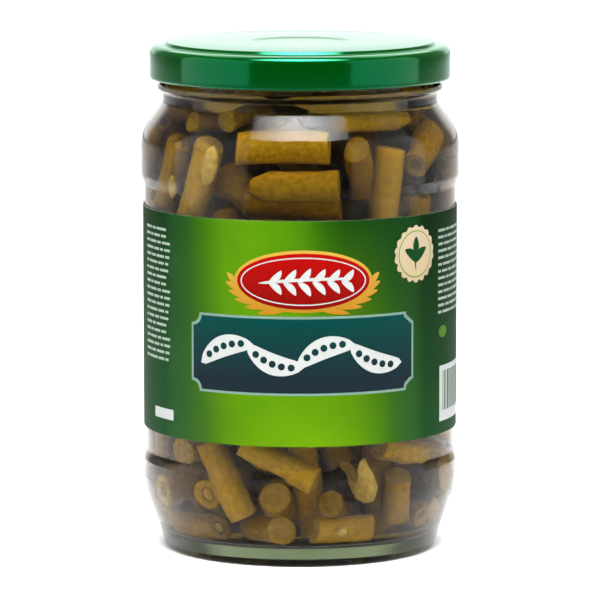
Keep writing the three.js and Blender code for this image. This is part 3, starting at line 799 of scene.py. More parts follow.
@dataclass
class Lid:
    """The lid: a lacquered sheet with a pressed button, panel, step, shoulder, skirt, curl and lugs."""

    top: float = 146
    radius: float = 43.1
    sheet: float = 0.45
    panel_edge_radius: float = 38.4
    ledge_height: float = 145
    shoulder_round: float = 2.2
    button_radius: float = 13.5
    button_depth: float = 0.3
    curl_radius: float = 0.85
    curl_centre_radius: float = 42.2
    curl_centre_height: float = 136.2
    curl_sweep_deg: int = 240
    curl_step_deg: int = 20
    lug_tip_radius: float = 39.9
    lug_top: float = 136.7
    lug_bottom: float = 135.6
    lug_count: int = 6
    first_lug_deg: float = 20
    lug_width_deg: float = 10
    segments: int = 192
    outer: LacquerFinish = LacquerFinish(
        "green lacquer", seen_colour(0, 80, 2), 0.25, 0.12, 0.04, (0.02, 0.95, 0.55)
    )
    # The underside's gold lacquer is a darker brown than the lacquer itself: partly its own colour, partly
    # painted shade for the dark inside of the neck.
    inner: LacquerFinish = LacquerFinish(
        "gold lacquer with painted shade", screen_colour(74, 50, 20), 0.3, 0.45, 0.1, (1.0, 0.8, 0.5)
    )

    def outline(self) -> list[Sequence[float]]:
        """Return the closed outline of the sheet: its upper side, curl and underside."""
        skirt_inner = self.radius - self.sheet
        shoulder_foot = self.ledge_height - self.shoulder_round
        curl_outer = self.curl_centre_radius + self.curl_radius
        above = [
            (0, self.top - self.button_depth),
            (self.button_radius - 1, self.top - self.button_depth, 2),
            (self.button_radius + 1, self.top, 2),
            (self.panel_edge_radius, self.top, 0.35),
            (self.panel_edge_radius + 0.6, self.ledge_height + 0.1, 0.35),
            (self.radius, self.ledge_height - 0.1, self.shoulder_round),
            (curl_outer, self.curl_centre_height + 2.1, 3),
            (curl_outer, self.curl_centre_height + 1.1),
        ]
        curl = []
        for deg in range(0, self.curl_sweep_deg + 1, self.curl_step_deg):
            angle = math.radians(-deg)
            across = self.curl_centre_radius + self.curl_radius * math.cos(angle)
            curl.append((across, self.curl_centre_height + self.curl_radius * math.sin(angle)))
        below = [
            (curl_outer - self.sheet, self.curl_centre_height + 1.3),
            (skirt_inner, self.curl_centre_height + 2.3, 0.8),
            (skirt_inner, shoulder_foot, 1),
            (skirt_inner - 0.6, self.ledge_height - self.sheet - 0.65),
            (skirt_inner - 1.75, self.ledge_height - self.sheet),
            (self.panel_edge_radius + 0.3, self.ledge_height + 0.05 - self.sheet),
            (self.panel_edge_radius - 0.3, self.top - self.sheet),
            (self.button_radius + 1.1, self.top - self.sheet),
            (self.button_radius - 0.9, self.top - self.button_depth - self.sheet),
            (0, self.top - self.button_depth - self.sheet),
        ]
        return [*above, *curl, *below]

    def is_inside(self, face: bmesh.types.BMFace) -> bool:
        """Return whether a face is on the sheet's inner side.

        Args:
            face: a face of the sheet.

        Returns:
            Whether it is.
        """
        middle = face.calc_center_median()
        if middle.z < self.curl_centre_height + 1.2:
            return False
        outward = Vector((middle.x, middle.y, 0)).normalized()
        if middle.z > self.ledge_height - 1.5:
            return face.normal.z + 0.4 * face.normal.dot(outward) < 0
        return face.normal.dot(outward) < 0

    def add_lug(self, bm: bmesh.types.BMesh, middle_deg: float) -> None:
        """Add a lug, a block bent round the jar's axis that reaches in from the curl.

        Args:
            bm: the lid.
            middle_deg: the bearing of the lug's middle.
        """
        lug = bmesh.new()
        bmesh.ops.create_cube(lug, size=1)
        along = [edge for edge in lug.edges if abs(edge.verts[0].co.x - edge.verts[1].co.x) > 0.5]
        bmesh.ops.subdivide_edges(lug, edges=along, cuts=5, use_grid_fill=True)
        for vert in lug.verts:
            angle = math.radians(middle_deg + vert.co.x * self.lug_width_deg)
            radius = self.lug_tip_radius if vert.co.y < 0 else self.curl_centre_radius
            height = self.lug_bottom + (vert.co.z + 0.5) * (self.lug_top - self.lug_bottom)
            vert.co = Vector((radius * math.cos(angle), radius * math.sin(angle), height))
        bmesh.ops.recalc_face_normals(lug, faces=lug.faces)
        add_body(bm, lug)

    def build(self) -> None:
        """Make the sheet with its lugs."""
        bm = turned_body(rounded_outline(self.outline(), 5), self.segments)
        # Inner faces take the gold lacquer, darkened in part as painted shade.
        for face in bm.faces:
            face.material_index = 1 if self.is_inside(face) else 0
        for lug in range(self.lug_count):
            self.add_lug(bm, self.first_lug_deg + lug * 360 / self.lug_count)
        place = Place(Body.LID, Slot.LACQUER, ("lid_shell",))
        finished_piece(bm, "twist_lid", [self.outer.material(), self.inner.material()], place)


@dataclass
class Liner:
    """The soft ring that seals the lid on the rim."""

    lid: Lid
    inner_radius: float = 36.6
    outer_radius: float = 41.2
    foot: float = 143.5
    gap: float = 0.3
    segments: int = 144
    finish: SoftFinish = SoftFinish("liner compound", screen_colour(222, 216, 200), 0.6, 900)

    def build(self) -> None:
        """Make the ring."""
        panel_underside = self.lid.top - self.lid.sheet - self.gap
        ledge_underside = self.lid.ledge_height - self.lid.sheet - self.gap
        edge = self.lid.panel_edge_radius
        section = [
            (self.inner_radius, self.foot, 0.4),
            (self.outer_radius, self.foot, 0.3),
            (self.outer_radius, ledge_underside - 0.15),
            (edge, ledge_underside),
            (edge - 0.8, panel_underside),
            (self.inner_radius, panel_underside, 0.4),
            (self.inner_radius, self.foot + 1),
        ]
        bm = turned_body(rounded_outline(section, 3), self.segments, closed=True)
        place = Place(Body.LINER, Slot.LINER, ("lid_liner",))
        finished_piece(bm, "seal_ring", [self.finish.material()], place)


class Ink(Enum):
    """The label's inks. Each has a finish of its own."""

    PLATE = "plate"
    SILVER = "silver_green"
    RED = "red"
    GOLD = "gold"
    CREAM = "cream"
    WHITE = "white"
    FAINT = "faint_white"
    LEAF = "leaf_green"
    DARK = "dark_green"


INK_FINISHES = {
    Ink.PLATE: InkFinish("plate ink", seen_colour(32, 48, 58), seen_colour(0, 80, 74), 54, 72),
    Ink.SILVER: InkFinish("silver green ink", seen_colour(128, 170, 150), seen_colour(150, 186, 168)),
    Ink.RED: InkFinish("red ink", seen_colour(150, 16, 10), seen_colour(206, 12, 8), 75, 90),
    Ink.GOLD: InkFinish("gold ink", seen_colour(214, 150, 40), seen_colour(246, 200, 84), 73, 92),
    Ink.CREAM: InkFinish("cream ink", seen_colour(236, 212, 170), seen_colour(244, 224, 188), 82, 96),
    Ink.WHITE: InkFinish("white ink", seen_colour(226, 232, 226), seen_colour(238, 242, 238)),
    Ink.FAINT: InkFinish("faint white ink", seen_colour(190, 212, 194), seen_colour(200, 220, 204)),
    Ink.LEAF: InkFinish("leaf ink", seen_colour(70, 132, 20), seen_colour(120, 178, 40), 50, 96),
    Ink.DARK: InkFinish("dark green ink", seen_colour(14, 70, 30), seen_colour(16, 80, 34)),
}


@dataclass(frozen=True)
class Print:
    """One printed shape: its ink, its outline on the flat label, and how many prints lie under it."""

    ink: Ink
    outline: tuple[Point, ...]
    layer: int


def oval(
    across: float, height: float, half_width: float, half_height: float, count: int = 48
) -> tuple[Point, ...]:
    """Return an oval's outline."""
    turns = [2 * math.pi * i / count for i in range(count)]
    return tuple((across + half_width * math.cos(a), height + half_height * math.sin(a)) for a in turns)


def scalloped(across: float, height: float, radius: float, lobes: int, depth: float) -> tuple[Point, ...]:
    """Return the outline of a round seal with a scalloped edge.

    Args:
        across: its middle.
        height: its middle's height.
        radius: its greatest radius.
        lobes: how many scallops it has.
        depth: how deep they are.

    Returns:
        The outline.
    """
    steps_per_lobe = 8
    count = lobes * steps_per_lobe
    points = []
    for i in range(count):
        turn = 2 * math.pi * i / count
        reach = radius - depth * (1 - abs(math.sin(turn * lobes / 2)))
        points.append((across + reach * math.cos(turn), height + reach * math.sin(turn)))
    return tuple(points)


def panel(left: float, foot: float, right: float, head: float, notch: float = 0.0) -> tuple[Point, ...]:
    """Return the outline of a panel, with hollow round corners where it has a notch.

    Args:
        left: its left edge.
        foot: its lower edge.
        right: its right edge.
        head: its upper edge.
        notch: the radius of its corners.

    Returns:
        The outline.
    """
    if not notch:
        return ((left, foot), (right, foot), (right, head), (left, head))
    steps = 6
    points = []
    for x, z, first in ((right, foot, 180), (right, head, 270), (left, head, 0), (left, foot, 90)):
        for step in range(steps + 1):
            turn = math.radians(first - 90 / steps * step)
            points.append((x + notch * math.cos(turn), z + notch * math.sin(turn)))
    return tuple(points)


def blade(
    foot: Point, head: Point, width: float, bow: float = 0.0, blunt: float = 0.75, count: int = 14
) -> tuple[Point, ...]:
    """Return the outline of a leaf or pod that tapers to both ends.

    Args:
        foot: where it starts.
        head: where it ends.
        width: its greatest width.
        bow: how far its middle stands off the straight line.
        blunt: how soon it widens, lower for fuller ends.
        count: how many points each side has.

    Returns:
        The outline.
    """
    along = Vector((head[0] - foot[0], head[1] - foot[1]))
    aside = Vector((-along.y, along.x)).normalized()
    sides: list[list[Point]] = [[], []]
    for i in range(count + 1):
        share = i / count
        middle = Vector(foot) + along * share + aside * (bow * 4 * share * (1 - share))
        half = width / 2 * math.sin(math.pi * share) ** blunt
        sides[0].append(tuple(middle - aside * half))
        if 0 < i < count:
            sides[1].append(tuple(middle + aside * half))
    return (*sides[0], *reversed(sides[1]))


@dataclass
class Label:
    """The paper label, wrapped once round the recessed panel, and what is printed on it."""

    inner_radius: float = 44.85
    thickness: float = 0.3
    foot: float = 35.5
    head: float = 99.3
    seam: float = 1.6
    segments: int = 180
    lift: float = 0.02
    strip_width: float = 2.0
    ground: LabelGroundFinish = LabelGroundFinish()
    paper: SoftFinish = SoftFinish("bare paper", seen_colour(176, 180, 160), 0.75, 1500)
    plate: tuple[float, float, float, float] = (-33.5, 50.0, 35.5, 72.4)
    medallion: tuple[float, float, float, float] = (1.0, 82.3, 20.0, 8.8)
    seal: tuple[float, float, float] = (36.5, 88.4, 8.2)
    table: tuple[float, float, float, float] = (86.0, 43.0, 124.0, 92.0)
    sprig: Point = (-104.0, 67.5)
    line_height: float = 0.75
    line_pitch: float = 1.95
    dash_gap: float = 0.7
    shortest_dash: float = 1.6
    dashes: tuple[float, ...] = (4.6, 2.2, 5.8, 3.4, 1.6, 4.0, 2.8)
    bars: tuple[float, ...] = (0.35, 0.6, 0.35, 0.8)

    def build_paper(self) -> None:
        """Make the strip of paper."""
        outer = self.inner_radius + self.thickness
        half_seam = self.seam / 2 / self.inner_radius
        start = math.pi / 2 + half_seam
        bm = bmesh.new()
        inner, foot, head = self.inner_radius, self.foot, self.head
        corners = ((inner, foot), (outer, foot), (outer, head), (inner, head))
        verts = [bm.verts.new((r * math.cos(start), r * math.sin(start), z)) for r, z in corners]
        end = bm.faces.new(verts)
        spin(bm, [end, *end.edges, *verts], 2 * (math.pi - half_seam), self.segments, False)
        bmesh.ops.recalc_face_normals(bm, faces=bm.faces)
        wrap = bm.verts.layers.float_vector.new("wrap")
        for vert in bm.verts:
            bearing = math.atan2(vert.co.x, -vert.co.y)
            if abs(bearing) > math.pi - half_seam * 1.5:
                bearing = math.copysign(bearing, vert.co.x)
            tall = (vert.co.z - foot) / (head - foot)
            vert[wrap] = Vector((bearing / (2 * math.pi) + 0.5, tall, 0))
        for face in bm.faces:
            middle = face.calc_center_median()
            outward = Vector((middle.x, middle.y, 0)).normalized()
            face.material_index = 0 if face.normal.dot(outward) > 0.5 else 1
        place = Place(Body.JAR, Slot.PAPER, ("label",))
        finished_piece(bm, "label_paper", [self.ground.material(), self.paper.material()], place)

    def prints(self) -> list[Print]:
        """Return what is printed on the label."""
        return [
            *self.plate_prints(),
            *self.medallion_prints(),
            *self.seal_prints(),
            *self.side_prints(),
            *self.back_prints(),
        ]

    def plate_prints(self) -> list[Print]:
        """Return the dark plate with its border and a row of pods."""
        left, foot, right, head = self.plate
        border = 0.7
        shapes = [
            Print(Ink.SILVER, panel(left, foot, right, head, 3.0), 0),
            Print(Ink.PLATE, panel(left + border, foot + border, right - border, head - border, 3.0), 1),
        ]
        middle = (foot + head) / 2
        for across, rise in ((-21.5, 3.0), (-7.0, -3.0), (7.5, 3.0), (22.5, -3.0)):
            bow = 0.8 * rise
            start = (across - 8.4, middle - rise)
            end = (across + 8.4, middle + rise)
            shapes.append(Print(Ink.WHITE, blade(start, end, 6.0, bow, 0.5), 2))
            shapes += self.pod_seeds(start, end, bow)
        return shapes

    def pod_seeds(self, start: Point, end: Point, bow: float) -> list[Print]:
        """Return the seeds of a printed pod.

        Args:
            start: one end of the pod.
            end: the other.
            bow: how far its middle stands off.

        Returns:
            The seeds.
        """
        seeds = []
        along = Vector(end) - Vector(start)
        aside = Vector((-along.y, along.x)).normalized()
        for share in (0.2, 0.35, 0.5, 0.65, 0.8):
            place = Vector(start) + along * share + aside * (bow * 4 * share * (1 - share))
            seeds.append(Print(Ink.PLATE, oval(place.x, place.y, 1.0, 1.0, 20), 3))
        return seeds

    def medallion_prints(self) -> list[Print]:
        """Return the red oval with a gold edge and a sprig of leaves."""
        across, height, half_width, half_height = self.medallion
        shapes = [
            Print(Ink.GOLD, oval(across, height, half_width, half_height), 1),
            Print(Ink.RED, oval(across, height, half_width - 0.9, half_height - 0.9), 2),
            Print(Ink.WHITE, oval(across, height, half_width - 2.0, half_height - 2.0), 3),
            Print(Ink.RED, oval(across, height, half_width - 2.35, half_height - 2.35), 4),
        ]
        stem = (across - 13.0, height - 0.6)
        tip = (across + 13.0, height + 0.6)
        shapes.append(Print(Ink.WHITE, blade(stem, tip, 0.9, 0.5, 0.2), 5))
        for step in range(6):
            root = (across - 9.8 + 4.1 * step, height - 0.3 + 0.05 * step)
            for side in (1, -1):
                head = (root[0] + 3.6, root[1] + side * (3.9 - 0.25 * abs(step - 2)))
                shapes.append(Print(Ink.WHITE, blade(root, head, 1.9, side * -0.5, 0.7), 5))
        for side in (1, -1):
            for step in range(6):
                turn = math.radians(-90 + side * (16 + 13 * step))
                ahead = turn + side * 0.34
                root = (across + half_width * math.cos(turn), height + half_height * math.sin(turn))
                head = (
                    across + (half_width + 2.6) * math.cos(ahead),
                    height + (half_height + 2.6) * math.sin(ahead),
                )
                shapes.append(Print(Ink.GOLD, blade(root, head, 1.6, side * 0.3), 1))
        return shapes

    def seal_prints(self) -> list[Print]:
        """Return the cream seal with its leaves."""
        across, height, radius = self.seal
        shapes = [
            Print(Ink.CREAM, scalloped(across, height, radius, 18, 0.9), 1),
            Print(Ink.LEAF, oval(across, height, radius - 1.5, radius - 1.5), 2),
            Print(Ink.CREAM, oval(across, height, radius - 1.8, radius - 1.8), 3),
            Print(Ink.DARK, blade((across, height - 4.6), (across, height + 1.2), 0.5, 0.3, 0.3), 4),
        ]
        for side in (1, -1):
            root, tip = (across, height - 2.4), (across + side * 4.4, height + 1.6)
            shapes.append(Print(Ink.DARK, blade(root, tip, 2.6, side * 0.7), 4))
        shapes.append(Print(Ink.DARK, blade((across, height - 0.6), (across, height + 5.0), 2.4), 4))
        return shapes

    def side_prints(self) -> list[Print]:
        """Return the plain lines and panels at the two sides, in place of small print."""
        shapes = [
            *self.small_lines(-59.0, -43.0, 94.0, 20),
            *self.small_lines(47.5, 68.0, 93.5, 13),
            Print(Ink.WHITE, panel(-52.0, 40.2, -41.5, 43.2), 1),
            Print(Ink.LEAF, oval(50.5, 64.8, 2.6, 1.7, 24), 1),
            Print(Ink.WHITE, panel(48.5, 39.0, 76.5, 55.0), 1),
        ]
        for bar in range(22):
            left = 50.6 + 1.1 * bar
            right = left + self.bars[bar % len(self.bars)]
            shapes.append(Print(Ink.DARK, panel(left, 42.0, right, 53.4), 2))
        return shapes

    def back_prints(self) -> list[Print]:
        """Return the plain table and the sprig of pods near the seam."""
        left, foot, right, head = self.table
        across, height = self.sprig
        shapes = [
            Print(Ink.SILVER, panel(left, foot, right, head, 2.4), 0),
            Print(Ink.DARK, panel(left + 0.6, foot + 0.6, right - 0.6, head - 0.6, 2.4), 1),
            *self.small_lines(left + 4, right - 4, head - 5, 19, 2),
            Print(Ink.SILVER, oval(across, height, 15.5, 15.5), 0),
            Print(Ink.DARK, oval(across, height, 14.8, 14.8), 1),
        ]
        for lean in (-0.9, 0.0, 0.9):
            start = (across + 1.5 * lean, height - 9.5)
            end = (start[0] + 12 * math.sin(lean), height - 9.5 + 19 * math.cos(0.6 * lean))
            shapes.append(Print(Ink.LEAF, blade(start, end, 4.4, 1.6 * lean, 0.5), 2))
            shapes += self.pod_seeds(start, end, 1.6 * lean)
        return shapes

    def small_lines(self, left: float, right: float, head: float, rows: int, layer: int = 1) -> list[Print]:
        """Return rows of short dashes between two edges, from a height down.

        Args:
            left: the left edge.
            right: the right edge.
            head: the first row's height.
            rows: how many rows there are.
            layer: how many prints lie under them.

        Returns:
            The dashes.
        """
        shapes = []
        for row in range(rows):
            height = head - self.line_pitch * row
            start = left
            turn = row * 3
            while start < right - self.shortest_dash:
                end = min(start + self.dashes[turn % len(self.dashes)], right)
                shapes.append(Print(Ink.FAINT, panel(start, height, end, height + self.line_height), layer))
                start = end + self.dash_gap
                turn += 1
        return shapes

    def add_print(self, bm: bmesh.types.BMesh, shape: Print) -> None:
        """Add a printed shape to a body, bent onto the label as a thin film.

        Args:
            bm: the body.
            shape: the print.
        """
        flat = bmesh.new()
        flat.faces.new([flat.verts.new((x, 0, z)) for x, z in shape.outline])
        bmesh.ops.triangulate(flat, faces=flat.faces, ngon_method="EAR_CLIP")
        low = min(point[0] for point in shape.outline)
        high = max(point[0] for point in shape.outline)
        for cut in range(1, int((high - low) / self.strip_width) + 1):
            bmesh.ops.bisect_plane(
                flat,
                geom=[*flat.verts, *flat.edges, *flat.faces],
                plane_co=(low + cut * self.strip_width, 0, 0),
                plane_no=(1, 0, 0),
            )
        bottom = self.inner_radius + self.thickness + self.lift * shape.layer
        film = bmesh.ops.extrude_face_region(flat, geom=list(flat.faces), use_keep_orig=True)
        raised = {item for item in film["geom"] if isinstance(item, bmesh.types.BMVert)}
        for vert in flat.verts:
            radius = bottom + (self.lift * 0.7 if vert in raised else -self.lift * 0.5)
            turn = vert.co.x / (self.inner_radius + self.thickness)
            vert.co = Vector((radius * math.sin(turn), -radius * math.cos(turn), vert.co.z))
        bmesh.ops.recalc_face_normals(flat, faces=flat.faces)
        add_body(bm, flat)

    def build(self) -> None:
        """Make the paper and its prints, one piece for each ink."""
        self.build_paper()
        shapes = self.prints()
        for ink, finish in INK_FINISHES.items():
            bm = bmesh.new()
            for shape in shapes:
                if shape.ink is ink:
                    self.add_print(bm, shape)
            place = Place(Body.JAR, Slot.PAPER)
            finished_piece(bm, "print_" + ink.value, [finish.material()], place)


class FrontPiece(NamedTuple):
    """A piece seen at the front: its two ends, its radius, and how far each end lies behind the glass."""

    across_a: float
    height_a: float
    across_b: float
    height_b: float
    radius: float
    back_a: float
    back_b: float


FRONT_PIECES = (
    (-17, 116, 8, 116.4, 4.2, 0, 0),
    (-15.5, 106.8, 11, 104.2, 4.8, 0, 0),
    (-23, 119, -29, 96, 4.4, 0.5, 0),
    (-31.5, 117.5, -35.5, 101, 4.1, 0.5, 0),
    (-37, 122, -38.5, 109, 3.8, 0, 0),
    (-37, 103, -22, 97, 4.2, 0, 16),
    (-30, 126, -17, 121, 3.6, 0, 15),
    (-21, 126, -10, 126, 4, 0, 16),
    (-20.5, 100, -14, 82, 4, 6, 1),
    (13, 119, 16.5, 103, 4, 0, 8),
    (24.5, 117.5, 22, 94, 4.4, 0, 0),
    (35.5, 121, 29.5, 112.5, 4.1, 0, 0),
    (12, 126, 31, 126, 4, 0, 0),
    (31, 104, 31.5, 86, 4.2, 0, 0),
    (37.5, 110, 37.5, 92, 3.9, 0, 0),
    (-23, 33, -15.5, 10.5, 4.3, 0, 0),
    (-7.5, 19, 1, 12.5, 4.6, 0, 15),
    (-15.8, 35, 3.8, 23.5, 4.1, 0, 0),
    (15.6, 27.5, 15.8, 15, 4.6, 0, 0),
    (8, 17, 9, 14, 3.8, 1, 20),
    (3.5, 10.5, 20, 8.8, 4.4, 2, 0),
    (26.5, 24, 25, 11, 4.1, 0, 0),
    (21, 33.5, 33, 28.5, 4.1, 0, 0),
    (33.5, 46, 37.5, 32, 4, 0, 0),
    (33, 12, 18, 17, 4.1, 0, 17),
    (-35, 16, -20, 22, 4.2, 0, 16),
    (-38, 37, -38, 24, 4, 0, 0),
    (-31, 30.5, -18, 34, 4.2, 0, 18),
    (-26, 18, -12, 23, 4.2, 0, 18),
    (-34, 8.5, -21.5, 8.5, 4.1, 0, 1),
    (-4, 10, -14, 9, 4.4, 1, 14),
    (37, 21.5, 24, 19, 4, 0, 18),
)


# The pile below uses only + - * / and square roots, in the order of the part's source, so that its pieces
# lie where the solids lie.
Step = tuple[float, float, float, float, float, float]
TINY = 1e-6


@dataclass(frozen=True)
class Cut:
    """One end of a piece: how far the cut slants, as a share of the radius, and towards which bearing."""

    slant: float
    towards: tuple[float, float]


@dataclass(frozen=True)
class BeanForm:
    """What makes each piece its own."""

    roll: tuple[float, float]
    flatness: float
    bend: float
    cuts: tuple[Cut, Cut]
    has_tip: bool


@dataclass(slots=True)
class Bean:
    """A cut piece as a round-ended rod from a to b, which keeps a room round itself."""

    a: list[float]
    b: list[float]
    radius: float
    room: float
    span: float
    weight: float
    drift: float
    home: Optional[list[float]]
    form: BeanForm


class Join(NamedTuple):
    """Two pieces that touch, and where along each: i and j are their numbers, s and t are shares."""

    i: int
    j: int
    s: float
    t: float
    gap: float


Joins = dict[tuple[int, int], Join]


@dataclass(frozen=True)
class Wall:
    """A flat wall turned about the axis: its outward share, upward share and distance."""

    out: float
    up: float
    reach: float

    @staticmethod
    def through(low: tuple[float, float], high: tuple[float, float]) -> "Wall":
        """Return the wall through two places.

        Args:
            low: radius and height of its lower end.
            high: radius and height of its upper end.

        Returns:
            The wall that faces outwards.
        """
        across = high[0] - low[0]
        rise = high[1] - low[1]
        length = math.sqrt(across * across + rise * rise)
        out = rise / length
        up = -across / length
        return Wall(out, up, low[0] * out + low[1] * up)


class Draws:
    """Repeatable draws between 0 and 1."""

    FACTOR = 48271
    COUNT = 2147483647
    LEAST_SQUARE = 0.05

    def __init__(self, seed: int) -> None:
        """Start from a seed."""
        self.state = seed

    def draw(self) -> float:
        """Return the next draw."""
        self.state = (self.state * self.FACTOR) % self.COUNT
        return self.state / self.COUNT

    def between(self, low: float, high: float) -> float:
        """Return a draw between two values."""
        return low + (high - low) * self.draw()

    def bearing(self) -> tuple[float, float]:
        """Return a direction in a plane, every bearing as likely."""
        while True:
            x = 2 * self.draw() - 1
            y = 2 * self.draw() - 1
            square = x * x + y * y
            if self.LEAST_SQUARE < square < 1:
                length = math.sqrt(square)
                return (x / length, y / length)


def clamp_share(value: float) -> float:
    """Return a value held between 0 and 1."""
    return 0 if value < 0 else 1 if value > 1 else value


def step_between(p: Bean, q: Bean, s: float, t: float) -> Step:
    """Return the step from a share along one piece's axis to a share along another's.

    Args:
        p: the piece that the step leaves.
        q: the piece that it reaches.
        s: the share along p.
        t: the share along q.

    Returns:
        The two shares, the step's x, y and z, and its length.
    """
    pa, pb, qa, qb = p.a, p.b, q.a, q.b
    x = qa[0] + (qb[0] - qa[0]) * t - pa[0] - (pb[0] - pa[0]) * s
    y = qa[1] + (qb[1] - qa[1]) * t - pa[1] - (pb[1] - pa[1]) * s
    z = qa[2] + (qb[2] - qa[2]) * t - pa[2] - (pb[2] - pa[2]) * s
    return s, t, x, y, z, math.sqrt(x * x + y * y + z * z)


def closest_step(p: Bean, q: Bean) -> Step:
    """Return the step where the axes of two pieces come closest, as step_between gives it.

    Args:
        p: the piece that the step leaves.
        q: the piece that it reaches.

    Returns:
        The shares, the step and its length.
    """
    pax, pay, paz = p.a
    pbx, pby, pbz = p.b
    qax, qay, qaz = q.a
    qbx, qby, qbz = q.b
    ux = pbx - pax
    uy = pby - pay
    uz = pbz - paz
    vx = qbx - qax
    vy = qby - qay
    vz = qbz - qaz
    wx = pax - qax
    wy = pay - qay
    wz = paz - qaz
    uu = ux * ux + uy * uy + uz * uz
    uv = ux * vx + uy * vy + uz * vz
    vv = vx * vx + vy * vy + vz * vz
    uw = ux * wx + uy * wy + uz * wz
    vw = vx * wx + vy * wy + vz * wz
    spread = uu * vv - uv * uv
    s = 0.5 if spread <= TINY * uu * vv else clamp_share((uv * vw - vv * uw) / spread)
    t = (uv * s + vw) / vv
    if t < 0 or t > 1:
        t = clamp_share(t)
        s = clamp_share((uv * t - uw) / uu)
    x = qax + vx * t - pax - ux * s
    y = qay + vy * t - pay - uy * s
    z = qaz + vz * t - paz - uz * s
    return s, t, x, y, z, math.sqrt(x * x + y * y + z * z)


def shift(point: list[float], x: float, y: float, z: float, amount: float) -> None:
    """Move a point by an amount of a step.

    Args:
        point: the point.
        x: the step's x.
        y: its y.
        z: its z.
        amount: how much of it.
    """
    point[0] += x * amount
    point[1] += y * amount
    point[2] += z * amount


def push_apart(p: Bean, q: Bean, step: Step, amount: float) -> None:
    """Move two pieces apart along the step between them, or together where the amount is negative.

    Args:
        p: one piece.
        q: the other.
        step: the step from p to q.
        amount: how far.
    """
    s, t, x, y, z, distance = step
    p_start = p.weight * (1 - s)
    p_end = p.weight * s
    q_start = q.weight * (1 - t)
    q_end = q.weight * t
    share = p_start * (1 - s) + p_end * s + q_start * (1 - t) + q_end * t
    scale = amount / share / (distance if distance > TINY else TINY)
    shift(p.a, x, y, z, -scale * p_start)
    shift(p.b, x, y, z, -scale * p_end)
    shift(q.a, x, y, z, scale * q_start)
    shift(q.b, x, y, z, scale * q_end)


